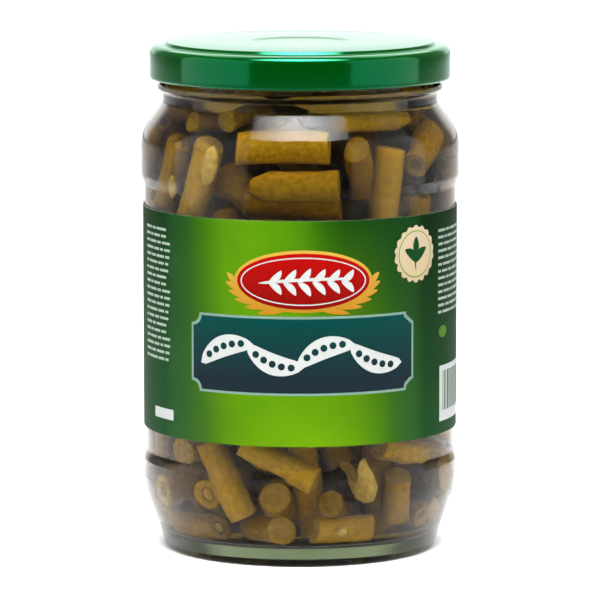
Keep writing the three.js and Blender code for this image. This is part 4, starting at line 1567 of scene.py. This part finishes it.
@dataclass
class BeanPile:
    """The pieces of bean in the glass, and how they settle and join into clusters."""

    glass: GlassJar
    count: int = 152
    seed: int = 20261
    radii: tuple[float, float] = (4, 5)
    lengths: tuple[float, float] = (23, 36)
    flatness: tuple[float, float] = (0.9, 0.98)
    bend: float = 0.5
    cut_slant: float = 0.7
    tip_share: float = 0.14
    room_share: float = 1.1
    room_extra: float = 0.17
    cap_share: float = 0.45
    wall_gap: float = 0.1
    pile_top: float = 131.4
    wall_layer_share: float = 0.52
    wall_layer_radius: float = 37
    core_radius: float = 30
    start_heights: tuple[float, float] = (10, 126)
    wall_layer_lean: float = 0.15
    core_lean: float = 1.6
    front_weight: float = 0.04
    sink: float = 0.05
    outward_drift: float = 0.05 / 30
    front_drift: float = 0.02 / 30
    fall_steps: int = 240
    fall_hold: float = 0.15
    join_steps: int = 150
    join_hold: float = 0.05
    last_steps: int = 200
    neighbour_reach: float = 3
    steps_per_search: int = 8
    most_clusters: int = 50
    joined_share: float = 0.8
    held_share: float = 0.84
    widest_join_gap: float = 2.6
    join_rounds: int = 5
    join_inset: float = 0.1
    round_sides: int = 48

    def __post_init__(self) -> None:
        """Set up the walls and the draws."""
        glass = self.glass
        flat_share = math.cos(math.pi / self.round_sides)
        self.inner_reach = glass.inner_radius * flat_share
        floor_edge = (glass.floor_radius * flat_share, glass.floor_height)
        inner_foot = (self.inner_reach, glass.inner_foot)
        inner_head = (self.inner_reach, glass.inner_head)
        bore_foot = (glass.bore_radius * flat_share, glass.bore_foot)
        self.walls = [
            Wall.through(inner_foot, inner_head),
            Wall.through(floor_edge, inner_foot),
            Wall.through(inner_head, bore_foot),
            Wall(0, -1, -glass.floor_height),
            Wall(0, 1, self.pile_top),
        ]
        self.draws = Draws(self.seed)

    def draw_form(self) -> BeanForm:
        """Draw a piece's roll, flatness, bend, cuts and whether it ends in a tip."""
        draws = self.draws
        roll = draws.bearing()
        flatness = draws.between(*self.flatness)
        bend = self.bend * (2 * draws.draw() - 1)
        low_cut = Cut(self.cut_slant * draws.draw() * draws.draw(), draws.bearing())
        high_cut = Cut(self.cut_slant * draws.draw() * draws.draw(), draws.bearing())
        return BeanForm(roll, flatness, bend, (low_cut, high_cut), draws.draw() < self.tip_share)

    def bean_between(
        self,
        ends: tuple[list[float], list[float]],
        radius: float,
        weight: float,
        drift: float,
        stays: bool,
    ) -> Bean:
        """Return a piece between two points.

        Args:
            ends: its two ends.
            radius: its radius.
            weight: how easily it is moved.
            drift: how far it moves outwards in a step.
            stays: whether it is drawn back to where it starts.

        Returns:
            The piece, with a form of its own.
        """
        start, end = ends
        x = end[0] - start[0]
        y = end[1] - start[1]
        z = end[2] - start[2]
        span = math.sqrt(x * x + y * y + z * z)
        room = self.room_share * radius + self.room_extra
        home = [*start, *end] if stays else None
        return Bean(start, end, radius, room, span, weight, drift, home, self.draw_form())

    def front_bean(self, piece: FrontPiece) -> Bean:
        """Return a piece seen at the front, with its ends on the glass or behind it as the list says.

        Args:
            piece: its entry in the list.

        Returns:
            The piece.
        """
        radius = piece.radius
        room = self.room_share * radius + self.room_extra

        def place(across: float, height: float, back: float) -> list[float]:
            reach = self.inner_reach - self.wall_gap - room - back
            square = reach * reach - across * across
            return [across, -math.sqrt(square) if square > 1 else -1, height]

        a = place(piece.across_a, piece.height_a, piece.back_a)
        b = place(piece.across_b, piece.height_b, piece.back_b)
        d = [b[0] - a[0], b[1] - a[1], b[2] - a[2]]
        cap = (self.cap_share * radius) / math.sqrt(d[0] * d[0] + d[1] * d[1] + d[2] * d[2])
        start = [a[0] + d[0] * cap, a[1] + d[1] * cap, a[2] + d[2] * cap]
        end = [b[0] - d[0] * cap, b[1] - d[1] * cap, b[2] - d[2] * cap]
        return self.bean_between((start, end), radius, self.front_weight, self.front_drift, True)

    def loose_bean(self) -> Bean:
        """Return a piece drawn anywhere along the glass or inside."""
        draws = self.draws
        radius = draws.between(*self.radii)
        span = draws.between(*self.lengths) - 2 * self.cap_share * radius
        out_x, out_y = draws.bearing()
        is_wall_layer = draws.draw() < self.wall_layer_share
        reach = self.wall_layer_radius if is_wall_layer else self.core_radius * math.sqrt(draws.draw())
        height = draws.between(*self.start_heights)
        along, up = draws.bearing()
        lean = (self.wall_layer_lean if is_wall_layer else self.core_lean) * (draws.draw() - 0.5)
        half = span / 2 / math.sqrt(1 + lean * lean)
        dx = (out_x * lean - out_y * along) * half
        dy = (out_y * lean + out_x * along) * half
        dz = up * half
        start = [out_x * reach - dx, out_y * reach - dy, height - dz]
        end = [out_x * reach + dx, out_y * reach + dy, height + dz]
        return self.bean_between((start, end), radius, 1, self.outward_drift if is_wall_layer else 0, False)

    def near_pairs(self, beans: list[Bean]) -> list[tuple[int, int]]:
        """Return the numbers of the pieces that are near enough to touch soon.

        Args:
            beans: the pieces.

        Returns:
            The pairs of numbers.
        """
        pairs = []
        for i, p in enumerate(beans):
            for j in range(i + 1, len(beans)):
                q = beans[j]
                x = p.a[0] + p.b[0] - q.a[0] - q.b[0]
                y = p.a[1] + p.b[1] - q.a[1] - q.b[1]
                z = p.a[2] + p.b[2] - q.a[2] - q.b[2]
                reach = p.span + q.span + 2 * (p.room + q.room + self.neighbour_reach)
                if x * x + y * y + z * z < reach * reach:
                    pairs.append((i, j))
        return pairs

    def keep_inside(self, point: list[float], room: float) -> None:
        """Move an end back inside the walls.

        Args:
            point: the end.
            room: how far it keeps from them.
        """
        for wall in self.walls:
            out = wall.out
            radial = math.sqrt(point[0] * point[0] + point[1] * point[1])
            over = radial * out + point[2] * wall.up - wall.reach + room + self.wall_gap
            if over > 0:
                scale = 1 - (over * out) / radial
                point[0] *= scale
                point[1] *= scale
                point[2] -= over * wall.up

    def push_pair(self, p: Bean, q: Bean, join: Optional[Join]) -> None:
        """Push two pieces apart where they overlap, and draw joined ones together.

        Args:
            p: one piece.
            q: the other.
            join: their join, if they have one.
        """
        near = closest_step(p, q)
        apart = self.joined_share * (p.radius + q.radius) if join else p.room + q.room
        if near[5] < apart:
            push_apart(p, q, near, apart - near[5])
        elif join:
            held = step_between(p, q, join.s, join.t)
            if held[5] > apart:
                push_apart(p, q, held, apart - held[5])

    def settle(
        self,
        beans: list[Bean],
        steps: int,
        sink: float = 0,
        drift: float = 0,
        hold: float = 0,
        joins: Optional[Joins] = None,
    ) -> None:
        """Let the pieces push each other apart inside the glass.

        Args:
            beans: the pieces.
            steps: how many steps to take.
            sink: how far a piece sinks in a step.
            drift: how much of each piece's outward drift it makes.
            hold: how strongly the front pieces go back to where they were seen.
            joins: the joined pairs, which are drawn together.
        """
        held = joins or {}
        pairs = []
        for step in range(steps):
            if step % self.steps_per_search == 0:
                pairs = [(beans[i], beans[j], held.get((i, j))) for i, j in self.near_pairs(beans)]
            for bean in beans:
                outward = 1 + drift * bean.drift
                for point in (bean.a, bean.b):
                    point[0] *= outward
                    point[1] *= outward
                    point[2] -= sink * bean.weight
                if bean.home:
                    for k in range(3):
                        bean.a[k] += (bean.home[k] - bean.a[k]) * hold
                        bean.b[k] += (bean.home[k + 3] - bean.b[k]) * hold
            for p, q, join in pairs:
                self.push_pair(p, q, join)
            for bean in beans:
                a, b = bean.a, bean.b
                x = b[0] - a[0]
                y = b[1] - a[1]
                z = b[2] - a[2]
                give = (bean.span / math.sqrt(x * x + y * y + z * z) - 1) / 2
                shift(a, x, y, z, -give)
                shift(b, x, y, z, give)
                self.keep_inside(a, bean.room)
                self.keep_inside(b, bean.room)

    def owners_of(self, beans: list[Bean], joins: Joins) -> list[int]:
        """Return the lowest piece of the cluster that each piece is in.

        Args:
            beans: the pieces.
            joins: their joins.

        Returns:
            A number for each piece.
        """
        owner = list(range(len(beans)))
        for join in joins.values():
            first = owner[join.i]
            second = owner[join.j]
            low, high = min(first, second), max(first, second)
            owner = [low if o == high else o for o in owner]
        return owner

    def choose_joins(self, beans: list[Bean], held: Joins) -> Joins:
        """Add joins until the pile is a limited number of clusters.

        The smallest cluster joins its smallest neighbour, again and again.

        Args:
            beans: the pieces.
            held: the joins that hold already.

        Returns:
            Those joins and the new ones.
        """
        low, high = self.join_inset, 1 - self.join_inset
        links = []
        for i, j in self.near_pairs(beans):
            s, t, _, _, _, distance = closest_step(beans[i], beans[j])
            gap = distance - beans[i].room - beans[j].room
            if gap < self.widest_join_gap and low < s < high and low < t < high:
                links.append(Join(i, j, s, t, gap))
        links.sort(key=lambda link: (link.gap, link.i, link.j))
        owner = self.owners_of(beans, held)
        sizes = [owner.count(g) for g in range(len(beans))]
        joins = dict(held)
        lonely = set()
        count = sum(1 for size in sizes if size > 0)
        while count > self.most_clusters:
            open_clusters = [g for g, size in enumerate(sizes) if size > 0 and g not in lonely]
            if not open_clusters:
                break
            least = min(open_clusters, key=lambda g: sizes[g])
            best = None
            best_host = -1
            for link in links:
                one, other = owner[link.i], owner[link.j]
                if one == other or least not in (one, other):
                    continue
                host = other if one == least else one
                if best is None or sizes[host] < sizes[best_host]:
                    best = link
                    best_host = host
            if best is None:
                lonely.add(least)
                continue
            joins[(best.i, best.j)] = best
            owner = [best_host if o == least else o for o in owner]
            sizes[best_host] += sizes[least]
            sizes[least] = 0
            count -= 1
        return joins

    def keep_held(self, beans: list[Bean], joins: Joins) -> Joins:
        """Return the joins whose pieces did come together.

        Args:
            beans: the pieces.
            joins: their joins.

        Returns:
            The joins that hold.
        """
        kept = {}
        for key, join in joins.items():
            p, q = beans[join.i], beans[join.j]
            if step_between(p, q, join.s, join.t)[5] < self.held_share * (p.radius + q.radius):
                kept[key] = join
        return kept

    def pack(self) -> tuple[list[Bean], list[list[int]]]:
        """Settle the pile.

        Returns:
            The pieces, and the numbers of the pieces in each cluster.
        """
        beans = [self.front_bean(FrontPiece(*piece)) for piece in FRONT_PIECES]
        while len(beans) < self.count:
            beans.append(self.loose_bean())
        self.settle(beans, self.fall_steps, sink=self.sink, drift=1, hold=self.fall_hold)
        joins: Joins = {}
        for _ in range(self.join_rounds):
            joins = self.choose_joins(beans, self.keep_held(beans, joins))
            self.settle(beans, self.join_steps, hold=self.join_hold, joins=joins)
        joins = self.keep_held(beans, joins)
        self.settle(beans, self.last_steps, joins=joins)
        owner = self.owners_of(beans, joins)
        clusters = [[i for i, o in enumerate(owner) if o == g] for g in range(len(beans))]
        return beans, [members for members in clusters if members]


class EndKind(Enum):
    """What a cut end shows, as how deep its hollow is."""

    PLAIN = -0.3
    DISHED = 0.5
    SHALLOW = 0.6
    HOLLOW = 1.5
    SEED = 1.0


# What the cut ends show, taken in turn.
END_KINDS = (
    EndKind.PLAIN,
    EndKind.HOLLOW,
    EndKind.PLAIN,
    EndKind.SEED,
    EndKind.SHALLOW,
    EndKind.PLAIN,
    EndKind.DISHED,
    EndKind.DISHED,
    EndKind.SEED,
    EndKind.DISHED,
)


@dataclass(frozen=True)
class ShownSeed:
    """A seed that shows on the side of a piece that has split open."""

    piece: int
    bearing_deg: float
    reach: float
    height: float
    half_sizes: Triple
    lean_deg: float

    def turn(self) -> Matrix:
        """Return the seed's turn and place: X across it, Y outwards, Z along it."""
        around = Matrix.Rotation(math.radians(self.bearing_deg), 4, "Z")
        outwards = Matrix.Translation((0, -self.reach, self.height))
        return around @ outwards @ Matrix.Rotation(math.radians(self.lean_deg), 4, "Y")


@dataclass
class CutBeans:
    """The look of the pieces: slightly flattened pods with side seams, cut faces, hollows and seeds."""

    pile: BeanPile
    sides: int = 18
    rings: int = 11
    rod_half: float = 3.0
    girth: float = 0.97
    rim: float = 0.08
    flesh_edge: float = 0.7
    tip_taper: float = 0.4
    tip_start: float = 0.5
    seam_ridge: float = 0.035
    seed_bulge: float = 0.03
    seed_pitch: float = 8.5
    split_pod: int = 18
    split_depth: float = 6.5
    split_half_width: float = 0.85
    split_flatness: float = 0.55
    end_seed_depth: float = 0.3
    end_seed_sizes: Triple = (0.44, 0.34, 0.3)
    shown_seed_tint: float = 0.7
    grain_step: float = 50
    worst_fit: float = 2
    shown_seeds: tuple[ShownSeed, ...] = (
        ShownSeed(2, -36.7, 40.9, 113.4, (2.8, 1.2, 5.6), 14),
        ShownSeed(20, 17.4, 38.0, 10.6, (1.6, 1.2, 1.7), 20),
        ShownSeed(3, -57.0, 41.0, 106.5, (1.7, 1.0, 3.6), 12),
    )
    skin: BeanFinish = BeanFinish(
        "bean skin", (0.27, 0.135, 0.003), (0.48, 0.27, 0.007), (0.72, 0.46, 0.03), 0.37, 0.5
    )
    flesh: BeanFinish = BeanFinish(
        "bean flesh", (0.34, 0.2, 0.015), (0.48, 0.3, 0.03), (0.66, 0.45, 0.09), 0.41, 0.3
    )
    # The hollow's colours are the flesh's at about half their brightness: painted shade in the sunk middle
    # of a cut end.
    hollow: BeanFinish = BeanFinish(
        "bean hollow painted shade", (0.17, 0.1, 0.009), (0.26, 0.15, 0.016), (0.37, 0.22, 0.035), 0.31, 0.2
    )
    seed: BeanFinish = BeanFinish(
        "bean seed", (0.58, 0.34, 0.05), (0.7, 0.45, 0.08), (0.8, 0.58, 0.16), 0.35, 0.2
    )

    def rod(self) -> bpy.types.Mesh:
        """Return a straight piece of unit radius along Z, with its two cut faces sunk in the middle."""
        bm = bmesh.new()
        bm.verts.layers.float_vector.new("rod")
        bm.verts.layers.float.new("tint")
        length = 2 * self.rod_half
        bmesh.ops.create_cone(bm, cap_ends=True, segments=self.sides, radius1=1, radius2=1, depth=length)
        upright = [edge for edge in bm.edges if abs(edge.verts[0].co.z - edge.verts[1].co.z) > 1]
        bmesh.ops.subdivide_edges(bm, edges=upright, cuts=self.rings, use_grid_fill=True)
        rims = [edge for edge in bm.edges if all(abs(v.co.z) > self.rod_half - 1e-4 for v in edge.verts)]
        bmesh.ops.bevel(
            bm, geom=rims, offset=self.rim, affect="EDGES", segments=2, profile=0.5, material=-1
        )
        caps = [face for face in bm.faces if len(face.verts) == self.sides]
        for face in caps:
            face.material_index = 1
        # Faces sunk deeper than 0.1 take material 2, the hollow finish, whose darker colour is painted
        # shade.
        for thickness, depth in ((0.1, 0.0), (0.22, -0.02), (0.12, -0.14), (0.2, -0.14)):
            bmesh.ops.inset_region(bm, faces=caps, thickness=thickness, depth=depth)
            for face in caps:
                face.material_index = 1 if depth > -0.1 else 2
        bmesh.ops.recalc_face_normals(bm, faces=bm.faces)
        return mesh_of(bm, "rod")

    def pip(self) -> bpy.types.Mesh:
        """Return a unit seed."""
        bm = bmesh.new()
        bm.verts.layers.float_vector.new("rod")
        bm.verts.layers.float.new("tint")
        bmesh.ops.create_icosphere(bm, subdivisions=2, radius=1)
        for face in bm.faces:
            face.material_index = 3
        return mesh_of(bm, "pip")

    def axes(self, bean: Bean) -> Matrix:
        """Return the turn and place of a piece: X across it, Y its flatter side, Z along it.

        Args:
            bean: the piece.

        Returns:
            The turn and place.
        """
        a, b = Vector(bean.a), Vector(bean.b)
        axis = (b - a).normalized()
        away = Vector((0, 0, 1)) if abs(axis.z) < 0.9 else Vector((1, 0, 0))
        side = away.cross(axis).normalized()
        other = axis.cross(side)
        across = side * bean.form.roll[0] + other * bean.form.roll[1]
        third = across.cross(axis)
        turn = Matrix((across, third, axis)).transposed().to_4x4()
        turn.translation = (a + b) / 2
        return turn

    def end_kind(self, bean: Bean, number: int, end: int) -> EndKind:
        """Return what a piece's cut end shows.

        Args:
            bean: the piece.
            number: its number.
            end: -1 for its start, 1 for its end.

        Returns:
            The kind of end.
        """
        if number == self.split_pod or (bean.form.has_tip and end > 0):
            return EndKind.PLAIN
        return END_KINDS[(number * 3 + end) % len(END_KINDS)]

    def shaped(self, bean: Bean, place: Vector, phase: float) -> Vector:
        """Return where a point of the straight rod lies in a piece, before its turn.

        Args:
            bean: the piece.
            place: the point on the unit rod.
            phase: where along the piece its first seed lies.

        Returns:
            The point, in millimetres.
        """
        form, radius = bean.form, bean.radius
        length = bean.span + 2 * self.pile.cap_share * radius
        along = place.z / self.rod_half
        girth = self.girth
        if form.has_tip and along > self.tip_start:
            girth *= 1 - (1 - self.tip_taper) * ((along - self.tip_start) / (1 - self.tip_start)) ** 1.3
        reach = math.hypot(place.x, place.y)
        if reach > 1e-6:
            flatter = abs(place.y) / reach
            swell = math.cos(2 * math.pi * along * length / 2 / self.seed_pitch + phase)
            girth *= 1 + self.seed_bulge * swell * flatter
            if flatter < 0.05 and reach > 0.95:
                girth *= 1 + self.seam_ridge
        x = place.x * radius * girth
        y = place.y * radius * girth * form.flatness
        cut = form.cuts[1 if along > 0 else 0]
        back = 0.0
        if not (form.has_tip and along > 0):
            lean = 1 + (x * cut.towards[0] + y * cut.towards[1]) / radius
            back = along * cut.slant * radius * lean * 0.5
        bow = form.bend * (0.5 - along * along)
        return Vector((x + bow, y, along * length / 2 - back))

    def add_copy(
        self, bm: bmesh.types.BMesh, mesh: bpy.types.Mesh
    ) -> tuple[list[bmesh.types.BMVert], list[bmesh.types.BMFace]]:
        """Add a copy of a mesh to a body, and return its points and faces.

        Args:
            bm: the body.
            mesh: the mesh.

        Returns:
            The copy's points and faces.
        """
        first_vert, first_face = len(bm.verts), len(bm.faces)
        bm.from_mesh(mesh)
        bm.verts.ensure_lookup_table()
        bm.faces.ensure_lookup_table()
        return bm.verts[first_vert:], bm.faces[first_face:]

    def add_bean(self, bm: bmesh.types.BMesh, rod: bpy.types.Mesh, bean: Bean, number: int) -> None:
        """Add a piece to a cluster's body.

        Args:
            bm: the body.
            rod: the straight rod.
            bean: the piece.
            number: its number.
        """
        is_split = number == self.split_pod
        if is_split:
            square = replace(bean.form.cuts[0], slant=0.0)
            bean = replace(bean, form=replace(bean.form, cuts=(square, square), has_tip=True))
        verts, faces = self.add_copy(bm, rod)
        rod_layer = bm.verts.layers.float_vector["rod"]
        tint_layer = bm.verts.layers.float["tint"]
        kinds = {end: self.end_kind(bean, number, end) for end in (-1, 1)}
        for face in faces:
            end = 1 if face.calc_center_median().z > 0 else -1
            # Filled ends take the flesh colour; open ends keep the hollow finish's painted shade.
            is_filled = kinds[end] in (EndKind.PLAIN, EndKind.DISHED)
            if is_split or (face.material_index == 2 and is_filled):
                face.material_index = 1
        turn = self.axes(bean)
        tint = 1.0 if is_split else (number * 61 + 60) % 101 / 125
        phase = number * 1.7
        for vert in verts:
            end = 1 if vert.co.z > 0 else -1
            place = vert.co.copy()
            if math.hypot(place.x, place.y) < self.flesh_edge:
                place.z = end * (self.rod_half - (self.rod_half - abs(place.z)) * kinds[end].value)
            shaped = self.shaped(bean, place, phase)
            if is_split:
                self.split(bean, shaped)
            across = vert.co * bean.radius
            vert[rod_layer] = Vector((across.x, across.y, shaped.z + self.grain_step * number))
            vert[tint_layer] = tint
            vert.co = turn @ shaped

    def split(self, bean: Bean, shaped: Vector) -> None:
        """Move a point of the split pod, which is open at one end, so that its two halves stand apart.

        Args:
            bean: the split pod.
            shaped: the point, which is changed.
        """
        shaped.y *= self.split_flatness
        if shaped.z < 0:
            beside = min(1.0, abs(shaped.x) / (self.split_half_width * bean.radius))
            half = bean.span / 2 + self.pile.cap_share * bean.radius
            shaped.z += self.split_depth * min(1.0, -shaped.z / half) * (1 + math.cos(math.pi * beside)) / 2

    def add_seed(
        self,
        bm: bmesh.types.BMesh,
        pip: bpy.types.Mesh,
        turn: Matrix,
        centre: Vector,
        sizes: Vector,
        grain: Vector,
        tint: float,
    ) -> None:
        """Add a seed to a cluster's body.

        Args:
            bm: the body.
            pip: the unit seed.
            turn: the turn and place of what the seed lies in.
            centre: where its middle is in that.
            sizes: its half sizes.
            grain: where its pattern starts.
            tint: how pale it is, from 0 to 1.
        """
        verts, _ = self.add_copy(bm, pip)
        rod_layer = bm.verts.layers.float_vector["rod"]
        tint_layer = bm.verts.layers.float["tint"]
        for vert in verts:
            offset = vert.co * sizes
            vert[rod_layer] = offset + grain
            vert[tint_layer] = tint
            vert.co = turn @ (centre + offset)

    def add_shown_seed(self, bm: bmesh.types.BMesh, pip: bpy.types.Mesh, seed: ShownSeed) -> None:
        """Add a seed that shows on the side of a piece."""
        middle = Vector()
        self.add_seed(bm, pip, seed.turn(), middle, Vector(seed.half_sizes), middle, self.shown_seed_tint)

    def add_end_seed(
        self, bm: bmesh.types.BMesh, pip: bpy.types.Mesh, bean: Bean, number: int, end: int
    ) -> None:
        """Add the seed that shows in a cut end.

        Args:
            bm: the body.
            pip: the unit seed.
            bean: the piece.
            number: its number.
            end: -1 for its start, 1 for its end.
        """
        centre = self.shaped(bean, Vector((0, 0, end * (self.rod_half - self.end_seed_depth))), 0)
        sizes = Vector(self.end_seed_sizes) * bean.radius
        grain = Vector((7, 3, self.grain_step * number))
        self.add_seed(bm, pip, self.axes(bean), centre, sizes, grain, number * 37 % 101 / 100)

    def build(self) -> None:
        """Make the pile, one piece for each cluster of the solids."""
        beans, clusters = self.pile.pack()
        rod, pip = self.rod(), self.pip()
        materials = [finish.material() for finish in (self.skin, self.flesh, self.hollow, self.seed)]
        for order, members in enumerate(clusters, start=1):
            node = f"beans_{order:02d}"
            bm = bmesh.new()
            for number in members:
                bean = beans[number]
                self.add_bean(bm, rod, bean, number)
                for end in (-1, 1):
                    if self.end_kind(bean, number, end) is EndKind.SEED:
                        self.add_end_seed(bm, pip, bean, number, end)
                for seed in self.shown_seeds:
                    if seed.piece == number:
                        self.add_shown_seed(bm, pip, seed)
            self.report_fit(node, bm)
            finished_piece(bm, f"cut_{node}", materials, Place(Body.JAR, Slot.BEAN, (node,)), crease=48)
        for mesh in (rod, pip):
            bpy.data.meshes.remove(mesh)

    def report_fit(self, node: str, bm: bmesh.types.BMesh) -> None:
        """Warn where a cluster doesn't lie where its solid does.

        Args:
            node: the solid's name.
            bm: the cluster.
        """
        low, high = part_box(node)
        for axis in range(3):
            places = [vert.co[axis] * MM for vert in bm.verts]
            off = max(abs(min(places) - low[axis]), abs(max(places) - high[axis]))
            if off > self.worst_fit * MM:
                LOG.warning("%s is %.1f mm off its solid", node, off / MM)


class Face(Enum):
    """The face of a light panel."""

    SQUARE = "RECTANGLE"
    ROUND = "ELLIPSE"


@dataclass(frozen=True)
class SoftBox:
    """A soft light panel, with its size in metres and its power in watts."""

    name: str
    place: Triple
    aim: Triple
    size: Point
    power: float
    spread_deg: float = 180
    face: Face = Face.SQUARE


@dataclass
class Studio:
    """The pale floor, the soft light and the camera. Places here are in metres."""

    camera_place: Triple = (0.0, -1.4, 0.2616)
    camera_aim: Triple = (0.0, 0.0, 0.07103)
    lens: float = 293.8
    sensor_width: float = 36
    view_end: float = 100
    sky: tuple[tuple[float, float], ...] = (
        (0.0, 0.2),
        (0.1, 0.22),
        (0.16, 0.45),
        (0.56, 0.45),
        (0.62, 0.3),
        (0.9, 0.35),
        (0.95, 1.6),
    )
    floor_radius: float = 8.0
    floor: FloorFinish = FloorFinish()
    boxes: tuple[SoftBox, ...] = (
        SoftBox(
            "soft box above", (0.0, -0.32, 0.75), (0.0, 0.02, 0.09), (0.76, 0.33), 4.8, 60, Face.ROUND
        ),
        SoftBox("soft box left", (-0.653, -0.251, 0.36), (0.0, 0.0, 0.36), (0.84, 0.7), 3.5),
        SoftBox("soft box right", (0.653, -0.251, 0.36), (0.0, 0.0, 0.36), (0.84, 0.7), 3.5),
        SoftBox("soft box behind", (0.0, 1.5, 1.7), (0.0, 1.1, 0.0), (2.2, 2.2), 60.0),
    )

    def aimed(self, name: str, data: bpy.types.ID, place: Triple, aim: Triple) -> bpy.types.Object:
        """Return a camera or light, put somewhere and aimed.

        Args:
            name: its name.
            data: what it is.
            place: where it stands.
            aim: what it looks at.

        Returns:
            The object.
        """
        thing = put_in_scene(name, data)
        thing.location = place
        thing.rotation_euler = (Vector(aim) - Vector(place)).to_track_quat("-Z", "Y").to_euler()
        return thing

    def add_camera(self) -> None:
        """Make the camera at the photograph's angle."""
        data = bpy.data.cameras.new("camera")
        data.lens = self.lens
        data.sensor_width = self.sensor_width
        data.clip_end = self.view_end
        camera = self.aimed("camera", data, self.camera_place, self.camera_aim)
        bpy.context.scene.camera = camera

    def add_floor(self) -> None:
        """Make the plain floor."""
        bm = bmesh.new()
        bmesh.ops.create_circle(bm, cap_ends=True, segments=96, radius=self.floor_radius)
        mesh = mesh_of(bm, "studio_floor")
        mesh.materials.append(self.floor.material())
        put_in_scene("studio_floor", mesh)

    def add_sky(self, tree: bpy.types.NodeTree) -> None:
        """Make the room's white light, dimmer in front of the jar than behind it.

        Args:
            tree: the world's nodes.
        """
        nodes, links = tree.nodes, tree.links
        direction = nodes.new("ShaderNodeTexCoord").outputs["Generated"]
        split = nodes.new("ShaderNodeSeparateXYZ")
        links.new(direction, split.inputs[0])
        back = nodes.new("ShaderNodeMapRange")
        back.inputs["From Min"].default_value = -1
        links.new(split.outputs["Y"], back.inputs["Value"])
        ramp = nodes.new("ShaderNodeValToRGB")
        fill_ramp(ramp, [(where, (level, level, level)) for where, level in self.sky])
        links.new(back.outputs["Result"], ramp.inputs["Fac"])
        links.new(ramp.outputs["Color"], nodes["Background"].inputs["Color"])

    def build(self) -> None:
        """Make the floor, the lights and the camera."""
        scene = bpy.context.scene
        scene.view_settings.view_transform = "Standard"
        world = bpy.data.worlds.new("studio")
        scene.world = world
        world.use_nodes = True
        self.add_sky(world.node_tree)
        self.add_floor()
        for box in self.boxes:
            data = bpy.data.lights.new(box.name, "AREA")
            data.shape = box.face.value
            data.size, data.size_y = box.size
            data.energy = box.power
            data.spread = math.radians(box.spread_deg)
            self.aimed(box.name, data, box.place, box.aim).visible_camera = False
        self.add_camera()


def main() -> None:
    """Dress the jar."""
    logging.basicConfig(level=logging.INFO, format="%(message)s")
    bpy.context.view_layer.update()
    Studio().build()
    glass = GlassJar()
    glass.build()
    Brine(glass).build()
    CutBeans(BeanPile(glass)).build()
    lid = Lid()
    lid.build()
    Liner(lid).build()
    Label().build()


if __name__ == "__main__":
    main()
